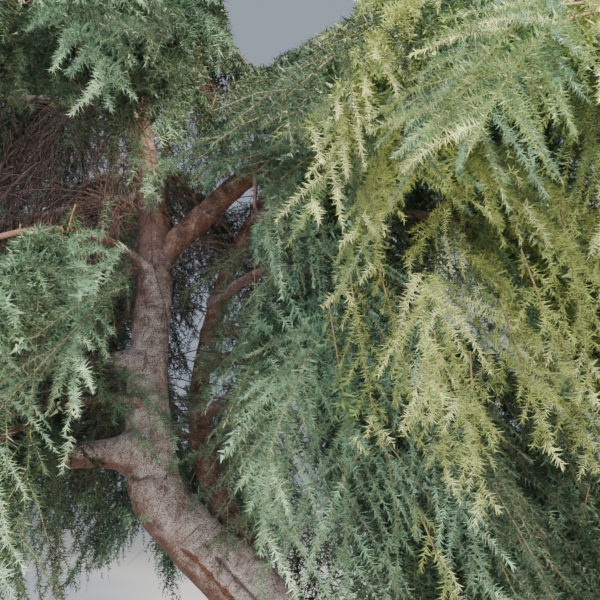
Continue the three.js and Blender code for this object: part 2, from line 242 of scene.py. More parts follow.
def stemPath(rows):
    # a uniform Catmull-Rom curve through the rows
    rows = np.array(rows) / 1000
    ends = np.vstack([2 * rows[0] - rows[1], rows, 2 * rows[-1] - rows[-2]])[:, :3]
    points, radii = [], []
    for i in range(len(rows) - 1):
        p0, p1, p2, p3 = ends[i:i + 4]
        slope1, slope2 = (p2 - p0) / 2, (p3 - p1) / 2
        for t in np.arange(24) / 24:
            points.append(
                p1 + slope1 * t + (3 * (p2 - p1) - 2 * slope1 - slope2) * t ** 2
                + (2 * (p1 - p2) + slope1 + slope2) * t ** 3
            )
            radii.append(mix(rows[i][3], rows[i + 1][3], t))
    return Path(points + [rows[-1][:3]], radii + [rows[-1][3]])


stems = {name: stemPath(rows) for name, rows in stemRows.items()}


# how the CAD source shapes a bough, and where its rings of masses stand
boughShape = {
    "tipRadius": 0.006,
    "taper": 0.8,
    "swell": 0.4,          # at the foot, as a share of the girth
    "swellReach": 1.6,     # in girths
    "ringTurn": 137.5,     # degrees from one mass of a ring to the next
    "ringGirth": (26, 13),
    "towardsGap": 0.5,     # how much of its reach a mass keeps between the summits
    "tipGirth": 0.8,       # of the stem's own last radius
    "fullReach": 1150,     # a bough of this reach or more has sprays of full size
    "smallest": 0.75,      # and a short one has them at this share
}


def boughPath(bough):
    # one arch out of the stem, as the CAD source bends it
    stem = stems[bough["on"]]
    out = bough["out"]
    reach, fall, girth = bough["reach"] / 1000, bough["fall"] / 1000, bough["girth"] / 1000
    share = 1.0 if bough["fromTip"] else stem.shareAtHeight(bough["at"] / 1000)
    foot = stem.at(share)
    bend = foot + out * reach / 2 + up * (math.tan(math.radians(bough["rise"])) * reach / 2)
    if bough["fromTip"]:
        bend = foot + stem.tangent(1.0) * reach / 2
    points = arch(foot, bend, foot + out * reach + up * fall, np.linspace(0, 1, 81)[:, None])
    path = Path(points, np.zeros(len(points)))
    taper = mix(girth, boughShape["tipRadius"], (path.along / path.length) ** boughShape["taper"])
    path.radii = taper * (1 + boughShape["swell"] * np.exp(-path.along / (boughShape["swellReach"] * girth)))
    bough["footRadius"] = float(stem.radius(share))
    return path


def boughRow(name, on, at, to, rise, reach, fall, girth, wood=0, spread=None, fromTip=False):
    # the spread is how far a mass reaches to each side, in millimetres
    row = dict(name=name, on=on, at=at, to=to, rise=rise, reach=reach, fall=fall, girth=girth, wood=wood,
               fromTip=fromTip, spread=spread or 330 + 0.16 * reach, out=heading(to),
               size=min(max(reach / boughShape["fullReach"], boughShape["smallest"]), 1))
    row["path"] = boughPath(row)
    return row


def allBoughs():
    rows = []
    for stem, entries in boughRows.items():
        rows += [boughRow(name, stem, *sizes) for name, *sizes in entries]
    for name, stem, count, heights, sector, reaches, rises, gap in ringRows:
        for i in range(count):
            share = i / (count - 1)
            to = sector[0] + (i * boughShape["ringTurn"]) % sector[1]
            towardsGap = max(0, math.cos(math.radians(to - gap)))
            reach = mix(*reaches, share) * mix(1, boughShape["towardsGap"], towardsGap)
            rows.append(boughRow("%s_%d" % (name, i + 1), stem, mix(*heights, share), to, mix(*rises, share),
                                 reach, -0.1 * reach, mix(*boughShape["ringGirth"], share)))
    for name, stem, to, reach, fall, spread in tipRows:
        girth = stemRows[stem][-1][3] * boughShape["tipGirth"]
        rows.append(boughRow(name, stem, 0, to, 0, reach, fall, girth, spread=spread, fromTip=True))
    return rows


boughs = allBoughs()
deadStem = boughRow("dead_twigs", "trunk", 2800, 222, 6, 620, -60, 16, spread=420)
print("limbs worked out:", len(boughs), "boughs")


# Openings in the foliage that the photograph shows, each as a window in the upright plane through the
# trunk, x and z in metres, seen from the photographer's place. Only what is nearer than the y called
# front is left out.

windows = [
    {
        "name": "trunk",       # leaves the trunk and the foot of the right limb in sight
        "corners": [
            (-1.54, 3.43), (-1.11, 3.43), (-1.03, 2.89), (-0.70, 3.03), (-0.66, 2.81), (-0.93, 2.51),
            (-0.95, 2.36), (-0.90, 1.69), (-0.77, 1.26), (-0.53, 1.03), (-0.40, 0.90), (-1.27, 0.90),
            (-1.27, 1.03), (-1.42, 1.43), (-1.52, 1.56), (-1.52, 1.70), (-1.28, 1.74), (-1.28, 2.50),
            (-1.36, 2.70),
        ],
        "front": 0.15,
    },
    {
        "name": "tangle",      # the dead twigs on the upper left
        "corners": [
            (-2.10, 3.40), (-1.56, 3.40), (-1.46, 2.72), (-1.62, 2.66), (-1.74, 2.84), (-1.86, 2.74),
            (-1.96, 2.50), (-2.10, 2.44),
        ],
        "front": -0.05,
    },
    {
        "name": "hollow",      # the shady inside of the crown, right of the trunk
        "corners": [
            (-1.08, 2.55), (-0.96, 2.62), (-0.65, 2.53), (-0.73, 2.34), (-0.77, 2.13), (-0.87, 2.00),
            (-0.90, 1.82), (-0.99, 1.78), (-1.04, 1.96), (-1.06, 2.21),
        ],
        "front": 0.30,
    },
    {
        "name": "pocket",      # a shady hollow in the sunlit side
        "corners": [(0.01, 2.91), (0.26, 2.95), (0.31, 2.81), (0.22, 2.55), (0.05, 2.52), (-0.02, 2.67)],
        "front": -0.30,
    },
    {
        "name": "sky",         # left of the right limb
        "corners": [
            (-0.94, 4.45), (-0.91, 4.16), (-0.80, 3.74), (-0.67, 3.67), (-0.46, 3.85), (-0.17, 4.01),
            (-0.08, 4.45),
        ],
        "front": 9.0,
    },
]
clearance = {
    "camera": 1.15,    # metres round the camera that stay clear
    "box": 0.02,       # metres kept free inside the CAD box's low sides, and allowed past its high ones
}


def inPolygon(x, z, corners):
    inside = np.zeros(len(x), bool)
    for (x1, z1), (x2, z2) in zip(corners, corners[1:] + corners[:1]):
        crosses = (z1 > z) != (z2 > z)
        with np.errstate(divide="ignore", invalid="ignore"):
            at = (x2 - x1) * (z - z1) / (z2 - z1) + x1
        inside ^= crosses & (x < at)
    return inside


def shutOut(points, free=False):
    # True for points that stand in a window, too near the camera, or outside the CAD box; free ones may
    # stand in a window, though not in the sky's
    out = np.linalg.norm(points - viewer, axis=1) < clearance["camera"]
    ahead = points[:, 1] - viewer[1]
    inFront = ahead > 0.05
    scale = -viewer[1] / np.maximum(ahead, 0.05)
    x = viewer[0] + (points[:, 0] - viewer[0]) * scale
    z = viewer[2] + (points[:, 2] - viewer[2]) * scale
    for window in windows:
        inside = inFront & (points[:, 1] < window["front"]) & inPolygon(x, z, window["corners"])
        out |= inside & ~(np.asarray(free) & (window["name"] != "sky"))
    low, high = np.array(cadBox) + clearance["box"]
    return out | (points < low).any(axis=1) | (points > high).any(axis=1)


# Bark

bark = {
    "lump": 0.04,          # share of the radius
    "flute": 0.035,        # the same, for the shallow ribs that run up the stem
    "wrinkle": 0.0016,     # metres, the creases that run round the stem
    "pit": 0.0020,
    "grain": 0.0008,
    "waves": {"lump": 7, "patch": 9, "pit": 75, "grain": 160, "round": 24, "along": 62},    # a metre
    "creaseWidth": 0.14,   # shares of one wave
    "pitWidth": 0.24,
    "smooth": 0.05,        # metres of radius below which the relief gets finer
    "fluted": 0.09,        # and below which the ribs fade
    "fillet": 0.55,        # how far a limb swells where it leaves its stem, in its own radii
    "knots": 26,           # healed scars of lost twigs on each stem
    "knotSize": (0.012, 0.026),
}

# how brown the bark is painted, with painted shade in it: rust-brown and painted shade most underneath,
# painted shade on the side away from the sun, and painted shade inside the crown
brownAndPaintedShade = {
    "leeShade": 0.55,               # on the side away from the sun
    "leeShadeTop": (2.7, 0.5, 0.45),    # which fades over so many metres below this height, to this share
    "stout": (0.035, 0.3),     # wood thinner than this radius is less brown, down to this share
    "crown": 0.9,              # on the trunk
    "crownShadeFrom": (2.1, 0.6),   # above this height, and over so many metres
    "bough": 0.5,              # on a bough
    "boughFrom": (0.10, 0.30),     # this far from its foot, and over so many metres
    "thin": (0.020, 0.008),    # as much again where it is thinner than this radius, over this much
}

# marks on the trunk's near side: turn round the stem in radians and metres along it
trunkMarks = {
    "crack": {
        "points": [(1.12, 1.62), (1.27, 1.55), (1.20, 1.45), (1.20, 1.33), (1.26, 1.16), (1.16, 0.95),
                   (1.22, 0.72)],
        "width": 0.022,
        "depth": 0.008,
    },
    "seam": {
        "points": [(1.80, 1.49), (1.72, 1.39), (1.72, 1.26), (1.80, 1.08), (1.70, 0.85)],
        "width": 0.014,
        "depth": 0.006,
    },
    "crease": {"points": [(0.75, 1.96), (1.25, 1.935), (1.80, 1.93)], "width": 0.018, "depth": 0.004},
}
trunkKnots = [(0.60, 1.92), (1.35, 1.90), (0.67, 1.86), (3.07, 2.20), (1.87, 2.20)]


def framesAlong(path, shares):
    # two directions across the path at each share, carried along without a twist
    tangents = path.tangent(shares)
    first = np.empty_like(tangents)
    start = np.cross(tangents[0], (0.0, 1.0, 0.0))
    if np.linalg.norm(start) < 0.2:
        start = np.cross(tangents[0], (1.0, 0.0, 0.0))
    first[0] = unit(start)
    for i in range(1, len(shares)):
        step = first[i - 1] - tangents[i] * (first[i - 1] @ tangents[i])
        first[i] = step / np.linalg.norm(step)
    return first, np.cross(tangents, first)


def knotRelief(along, turn, girth, length, count, seed, placed):
    # a raised lip with a hollow in it for each scar
    rng = np.random.default_rng(seed)
    scars = [(rng.random() * 2 * math.pi, rng.random() * length) for _ in range(count)] + placed
    relief = np.zeros(len(along))
    for facing, at in scars:
        size = mix(*bark["knotSize"], rng.random())
        aside = (turn - facing + math.pi) % (2 * math.pi) - math.pi
        away = np.hypot(along - at, aside * girth) / size
        lip, hollow = np.exp(-((away - 1) ** 2) * 5), np.exp(-(away ** 2) * 3)
        relief += size * (0.30 * lip - 0.34 * hollow)
    return relief


def strokeAt(along, turn, girth, stroke):
    # how far a place is into a drawn line, 1 in its middle and 0 beside it
    spot = np.stack([turn * girth, along], axis=1)
    nearest = np.full(len(along), 9.0)
    for start, end in zip(stroke["points"], stroke["points"][1:]):
        start, end = np.array(start) * (girth, 1), np.array(end) * (girth, 1)
        share = np.clip((spot - start) @ (end - start) / ((end - start) @ (end - start)), 0, 1)
        nearest = np.minimum(nearest, np.linalg.norm(spot - start - share[:, None] * (end - start), axis=1))
    waver = 0.25 * np.sin(along * 61) + 0.2 * np.sin(along * 143)
    return np.clip(1.4 + waver - nearest / (stroke["width"] / 2), 0, 1)


def barkRelief(places, turn, along, radius, girth, seed):
    # how far the bark stands out at each place, and how deep it is cut in there
    relief, cutDepth = np.empty(len(places)), np.empty(len(places))
    waves = bark["waves"]
    for i in range(len(places)):
        place = Vector(places[i])
        lump = noise.fractal(place * waves["lump"], 1.0, 2.0, 3)
        roll = Vector((math.cos(turn[i]) * girth * waves["round"], math.sin(turn[i]) * girth * waves["round"],
                       along[i] * waves["along"] + seed))
        crease = max(0, bark["creaseWidth"] - abs(noise.noise(roll))) / bark["creaseWidth"]
        patch = max(0, noise.noise(place * waves["patch"] + Vector((seed, 0, 0))) + 0.25)
        cell = noise.voronoi(place * waves["pit"])[0][0]
        pit = max(0, bark["pitWidth"] - cell) / bark["pitWidth"] * patch
        relief[i] = (
            lump * bark["lump"] * radius[i] - bark["wrinkle"] * crease * patch * 1.6 - bark["pit"] * pit
            + bark["grain"] * noise.noise(place * waves["grain"])
        )
        cutDepth[i] = crease * patch * 0.55 + pit
    relief *= np.clip(radius / bark["smooth"], 0.15, 1)
    flutes = np.cos(3 * turn + 0.9 * along + seed) + 0.6 * np.cos(5 * turn - 0.6 * along + 2 * seed)
    relief += flutes * bark["flute"] * radius * np.clip(radius / bark["fluted"], 0, 1)
    return relief, cutDepth


def fadeIn(value, start, over):
    return np.clip((value - start) / over, 0, 1)


def brownAndPaintedShadeAt(height, out, radius, along, isTrunk, isBough):
    # the brown and painted shade of each place, 1 on the underside of a stout limb
    top, over, least = brownAndPaintedShade["leeShadeTop"]
    low = np.clip((top - height) / over, least, 1)
    # rust-brown and painted shade underneath, and painted shade on the side away from the sun, less of it
    # higher up
    brownAndShade = np.maximum(0, -out[:, 2]) + np.maximum(0, -out[:, 0]) * brownAndPaintedShade["leeShade"] * low
    stout, least = brownAndPaintedShade["stout"]
    brownAndShade *= np.clip(radius / stout, least, 1)
    if isTrunk:
        # painted shade of the crown on the trunk's upper part
        brownAndShade += brownAndPaintedShade["crown"] * fadeIn(height, *brownAndPaintedShade["crownShadeFrom"])
    if isBough:
        thick, over = brownAndPaintedShade["thin"]
        thin = 1 + np.clip((thick - radius) / over, 0, 1)
        brownAndShade += brownAndPaintedShade["bough"] * thin * fadeIn(along, *brownAndPaintedShade["boughFrom"])
    return brownAndShade


def barkTube(name, path, radiusAt, sides, ringShares, material, seed, marks=None, knots=None):
    # a grid that is bent round the path and closed, with the bark's relief worked into it
    bm = bmesh.new()
    bm.loops.layers.uv.new("bark")
    rings = len(ringShares) - 1
    bmesh.ops.create_grid(bm, x_segments=sides, y_segments=rings, size=0.5, calc_uvs=True)
    grid = np.array([v.co[:2] for v in bm.verts]) + 0.5
    first, second = framesAlong(path, ringShares)
    ring = np.rint(grid[:, 1] * rings).astype(int)
    turn = grid[:, 0] * 2 * math.pi
    axis = path.at(ringShares)[ring]
    along = ringShares[ring] * path.length
    out = first[ring] * np.cos(turn)[:, None] + second[ring] * np.sin(turn)[:, None]
    radius = radiusAt(ringShares[ring], turn, axis)
    girth = float(np.mean(radius))
    relief, cutDepth = barkRelief(axis + out * radius[:, None], turn, along, radius, girth, seed)
    if knots is not None:
        relief += knotRelief(along, turn, girth, path.length, bark["knots"], int(seed * 10), knots)
    split = np.zeros(len(grid))
    if marks:
        drawn = {kind: strokeAt(along, turn, girth, stroke) for kind, stroke in marks.items()}
        relief -= sum(drawn[kind] * marks[kind]["depth"] for kind in marks)
        cutDepth = np.maximum(cutDepth, np.maximum(drawn["seam"], 0.8 * drawn["crease"]))
        split = drawn["crack"]
    places = axis + out * (radius + relief)[:, None]
    if marks:
        places[ring == 0, 2] = 0
        places[:, 2] = np.maximum(places[:, 2], 0)
    for v, place in zip(bm.verts, places):
        v.co = place
    brownAndShade = brownAndPaintedShadeAt(axis[:, 2], out, radius, along, bool(marks), knots is None)
    for kind, values in (("barkBrownAndShade", brownAndShade), ("pits", cutDepth), ("split", split)):
        layer = bm.verts.layers.float.new(kind)
        for v, value in zip(bm.verts, values):
            v[layer] = value
    bmesh.ops.remove_doubles(bm, verts=bm.verts, dist=1e-5)
    bmesh.ops.holes_fill(bm, edges=[e for e in bm.edges if e.is_boundary], sides=0)
    bmesh.ops.recalc_face_normals(bm, faces=bm.faces)
    for face in bm.faces:
        face.smooth = len(face.verts) == 4
    mesh = bpy.data.meshes.new(name)
    bm.to_mesh(mesh)
    bm.free()
    # the map runs round and along the stem in metres
    uv = mesh.uv_layers["bark"].data
    values = np.empty(len(uv) * 2)
    uv.foreach_get("uv", values)
    values[0::2] *= 2 * math.pi * girth
    values[1::2] = np.interp(values[1::2] * rings, np.arange(rings + 1), ringShares * path.length)
    uv.foreach_set("uv", values)
    mesh.materials.append(material)
    return addObject(name, mesh)


# the bark's noises, in waves a metre and steps of detail
barkNoises = {
    "patches": (17.0, 9.0),      # weathered patches 40 to 120 mm across
    "scales": (75.0, 4.0),       # pale scales 8 to 20 mm across
    "blotches": (22.0, 6.0),
    "crowded": (7.0, 2.0),       # where dark pits stand close together
    "speckles": (200.0, 2.0),    # dark speckles about 5 mm across
    "fibres": (120.0, 5.0),
    "crumble": (260.0, 3.0),     # 3 to 6 mm across
}

# where each coat shows: the values of its source at which it is absent and full, and how much it covers
barkCoats = {
    "scales": (0.54, 0.70, 0.5),
    # rust-brown mixed with painted shade
    "rustAndShade": (0.14, 0.40, 0.82),      # on sheltered sides
    "speckles": (0.51, 0.60, 0.85),
    "holes": (0.34, 0.22, 0.9),
    "crowded": (0.40, 0.62, 1.0),
    "pits": (0.15, 0.85, 0.8),       # dark where the relief is cut in
    "lines": (0.42, 0.33, 0.65),     # thin lines round the stem
    "crack": (0.25, 0.8, 1.0),
    "fibres": (0.38, 0.60, 1.0),
}

barkColours = {
    # rust-brown, which is also the colour of the painted shade
    "rustAndShade": "#643f31",
    "speckles": "#5f4b43",
    "holes": "#3d2b25",
    "pits": "#41322c",
    "lines": "#55443d",
    "innerBark": ("#46302a", "#85604c"),    # orange, in the long crack
}


def cedarBark(name, dark, base, pale):
    # bark of a cedar some decades old: grey-mauve plates with fine dark speckles, pits and thin lines
    # round it, rust-brown with painted shade where it is sheltered underneath, dry and without gloss
    material, tree, shader = newMaterial(name, {"Specular IOR Level": 0.25, "IOR": 1.45})
    place = addNode(tree, "ShaderNodeTexCoord").outputs["Object"]
    source = {}
    for kind, (scale, detail) in barkNoises.items():
        settings = {"Scale": scale, "Detail": detail, "Roughness": 0.65}
        source[kind] = addNode(tree, "ShaderNodeTexNoise", settings, {"Vector": place}).outputs["Fac"]
    for kind in ("barkBrownAndShade", "pits", "split"):
        source[kind] = addNode(tree, "ShaderNodeAttribute", {"attribute_name": kind}).outputs["Fac"]
    source["crack"] = source["split"]
    # rust-brown and painted shade, in blotches, where the mesh marks it
    source["rustAndShade"] = addNode(tree, "ShaderNodeMath", {"operation": "MULTIPLY"},
                             {0: source["barkBrownAndShade"], 1: source["blotches"]}).outputs["Value"]
    cells = addNode(tree, "ShaderNodeTexVoronoi", {"Scale": 105.0}, {"Vector": place})
    source["holes"] = cells.outputs["Distance"]
    # lines about 9 mm apart, on the map that runs round and along the stem
    barkMap = addNode(tree, "ShaderNodeUVMap", {"uv_map": "bark"}).outputs["UV"]
    stretch = addNode(tree, "ShaderNodeMapping", {"Scale": (9.0, 110.0, 1.0)}, {"Vector": barkMap})
    source["lines"] = addNode(tree, "ShaderNodeTexNoise", {"Scale": 1.0, "Detail": 3.0, "Roughness": 0.6},
                              {"Vector": stretch.outputs["Vector"]}).outputs["Fac"]
    share = {}
    for kind, (absent, full, most) in barkCoats.items():
        settings = {"From Min": absent, "From Max": full, "To Max": most}
        share[kind] = addNode(tree, "ShaderNodeMapRange", settings, {"Value": source[kind]}).outputs["Result"]
    share["holes"] = addNode(tree, "ShaderNodeMath", {"operation": "MULTIPLY"},
                             {0: share["holes"], 1: share["crowded"]}).outputs["Value"]

    ground = addNode(tree, "ShaderNodeValToRGB", {}, {"Fac": source["patches"]})
    ramp = ground.color_ramp.elements
    ramp.new(0.5)
    for step, (position, tone) in zip(ramp, ((0.36, dark), (0.5, base), (0.64, pale))):
        step.position = position
        step.color = linear(tone)
    colour = ground.outputs["Color"]
    for kind in ("scales", "rustAndShade", "speckles", "holes", "pits", "lines"):
        coat = linear(barkColours.get(kind, pale))
        colour = addNode(tree, "ShaderNodeMix", {"data_type": "RGBA", 7: coat},
                         {0: share[kind], 6: colour}).outputs[2]
    darkFibre, paleFibre = barkColours["innerBark"]
    inner = addNode(tree, "ShaderNodeMix", {"data_type": "RGBA", 6: linear(darkFibre), 7: linear(paleFibre)},
                    {0: share["fibres"]}).outputs[2]
    colour = addNode(tree, "ShaderNodeMix", {"data_type": "RGBA"},
                     {0: share["crack"], 6: colour, 7: inner}).outputs[2]
    tree.links.new(colour, shader.inputs["Base Color"])
    dull = addNode(tree, "ShaderNodeMapRange", {"To Min": 0.78, "To Max": 0.96}, {"Value": source["scales"]})
    tree.links.new(dull.outputs["Result"], shader.inputs["Roughness"])
    height = addNode(tree, "ShaderNodeMath", {"operation": "MULTIPLY_ADD", 1: 0.6},
                     {0: source["lines"], 2: source["crumble"]})
    bump = addNode(tree, "ShaderNodeBump", {"Strength": 0.8, "Distance": 0.005},
                   {"Height": height.outputs["Value"]})
    tree.links.new(bump.outputs["Normal"], shader.inputs["Normal"])
    return material


weatheredBark = cedarBark("weatheredBark", "#85756f", "#b9aca8", "#d8cfcb")
# painted shade: the limbs that stand in the crown's shade get a darker copy of the bark, which is browner as
# well
shadedBrownBark = cedarBark("shadedBrownBark", "#513c33", "#866759", "#ab968b")


rootFlare = {"fade": 0.26, "swell": 0.45, "buttress": 0.16, "buttresses": 5}


def stemRadius(name):
    def radiusAt(shares, turn, axis):
        radius = stems[name].radius(shares)
        if name != "trunk":
            return radius
        fade = np.exp(-np.maximum(axis[:, 2], 0) / rootFlare["fade"])
        buttress = rootFlare["buttress"] * np.cos(rootFlare["buttresses"] * turn + 0.6)
        return radius * (1 + fade * (rootFlare["swell"] + buttress))
    return radiusAt


def ringsAlong(length, fine, fineUntil, coarse):
    # shares of the length for rings that stand close up to a place and wider beyond it
    near = np.arange(0, min(fineUntil, length), fine)
    far = np.arange(near[-1] + fine, length - coarse / 2, coarse)
    return np.concatenate([near, far, [length]]) / length


# name: sides, and metres between rings up to a place along the stem
stemRings = {"trunk": (84, 0.011, 4.2), "rear_stem": (30, 0.02, 2.4), "right_limb": (36, 0.014, 0.9)}

for name, (sides, fine, fineUntil) in stemRings.items():
    path = stems[name]
    isTrunk = name == "trunk"
    piece = barkTube("bark_" + name, path, stemRadius(name), sides,
                     ringsAlong(path.length, fine, fineUntil, 0.035),
                     weatheredBark if isTrunk else shadedBrownBark, len(name) * 3.1,
                     trunkMarks if isTrunk else None, trunkKnots if isTrunk else [])
    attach(piece, "root")
    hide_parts(name)
print("stems barked")


def boughRadiusAt(bough):
    path = bough["path"]
    own = bough["girth"] / 1000

    def radiusAt(shares, turn, axis):
        if bough["fromTip"]:
            return path.radius(shares)
        beyond = np.maximum(shares * path.length - bough["footRadius"], 0)
        return path.radius(shares) + bark["fillet"] * own * np.exp(-beyond / (0.4 * own))
    return radiusAt


for i, bough in enumerate(boughs):
    path = bough["path"]
    sides, fine = (22, 0.022) if bough["girth"] > 40 else (10, 0.04)
    piece = barkTube("bark_bough_" + bough["name"], path, boughRadiusAt(bough), sides,
                     ringsAlong(path.length, fine, 0.8, 0.06), weatheredBark, i * 1.7)
    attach(piece, "root")
    if bough["wood"]:
        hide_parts("bough_" + bough["name"])
print("boughs barked")


# Foliage: on each mass's stem stand twigs, on each twig a drooping spray with shoots to both sides, and
# round each shoot a brush of needles. The twigs follow the rule of the CAD source.

growth = {
    "seed": 23,
    "spacing": 0.105,         # metres between twigs on a mass's stem
    "behindSpacing": 0.075,   # the same where the mass stands behind, in the camera's sight
    "seenSpacing": 0.050,     # and where it hangs in front
    "hangEvery": 3,           # one twig in so many hangs straight from the stem
    "sprayLength": 1.05,
    "sprayHalfWidth": 0.29,
    "shootSpacing": 0.042,    # metres between shoots on a spray
    "axisSpacing": 0.11,      # and along the needles on its own axis
    "shortestShoot": 0.05,
    "shootSag": 0.30,         # share of its length that a shoot droops by its tip
    "outline": ([0.1, 0.3, 0.55, 0.8, 1.0], [0.7, 1.0, 0.9, 0.55, 0.28]),    # half width along a spray
    "leastLeft": 0.4,         # share of its shoots that a spray beside a window keeps, or it goes
    "twist": 1.5,
    "lean": {                 # how steeply sprays hang
        "last": 0.5,          # from the stem's last two twigs
        "straight": 1.5,      # straight from the stem
        "aside": 0.75,        # from twigs to its sides
    },
    "fuller": {               # masses that the photograph shows fuller than the rest
        "front_left_low": 1.6, "front_left": 1.6, "front_high": 1.5, "front_top": 1.6,
        "limb_front": 1.3, "limb_middle": 1.4, "limb_outer": 1.5, "limb_tip": 1.6, "middle_high": 1.6,
        "back_low": 3.2, "back_left": 3.2, "back_right": 2.0, "back_middle": 1.8, "back_high": 3.0,
        "right_mid": 2.4, "limb_back": 1.8, "left_back": 2.6, "left_mid": 1.3, "middle_low": 1.9,
        "right_low": 1.9, "crown_tip": 1.8, "summit_tip": 1.8,
        "crown": (2.2, 2.2, 2.8, 2.2, 2.2, 2.2, 2.2, 2.0), "summit": (2.2, 2.2, 2.2, 2.2, 2.0, 2.0),
    },
    "longer": {               # and whose curtains hang lower
        "front_left": 1.35, "front_left_low": 1.15, "limb_front": 1.4, "middle_high": 1.6,
        "middle_low": 1.15, "limb_middle": 1.2, "limb_outer": 1.45, "limb_tip": 1.5, "right_mid": 1.4,
        "limb_back": 1.3,
        "crown": (1.2, 1.2, 1.2, 1.2, 1.25, 1.25, 1.25, 1.2), "summit": (1.2, 1.2, 1.2, 1.25, 1.25, 1.2),
    },
}
dealt = -1    # the tint of a spray that dealTints is to choose


def massValue(kind, name):
    # a mass's own value, or its place's value where it is one of a ring
    ring, _, number = name.partition("_")
    if number.isdigit():
        return growth[kind][ring][int(number) - 1]
    return growth[kind].get(name, 1)


def inSight(points, margin):
    # whether points fall in the camera's picture, with a margin as a share of the picture
    away = points - viewer
    depth = away @ viewAhead
    edge = depth * (halfView + margin)
    return (depth > 0.3) & (np.abs(away[:, 0]) < edge) & (np.abs(away @ viewAbove) < edge)
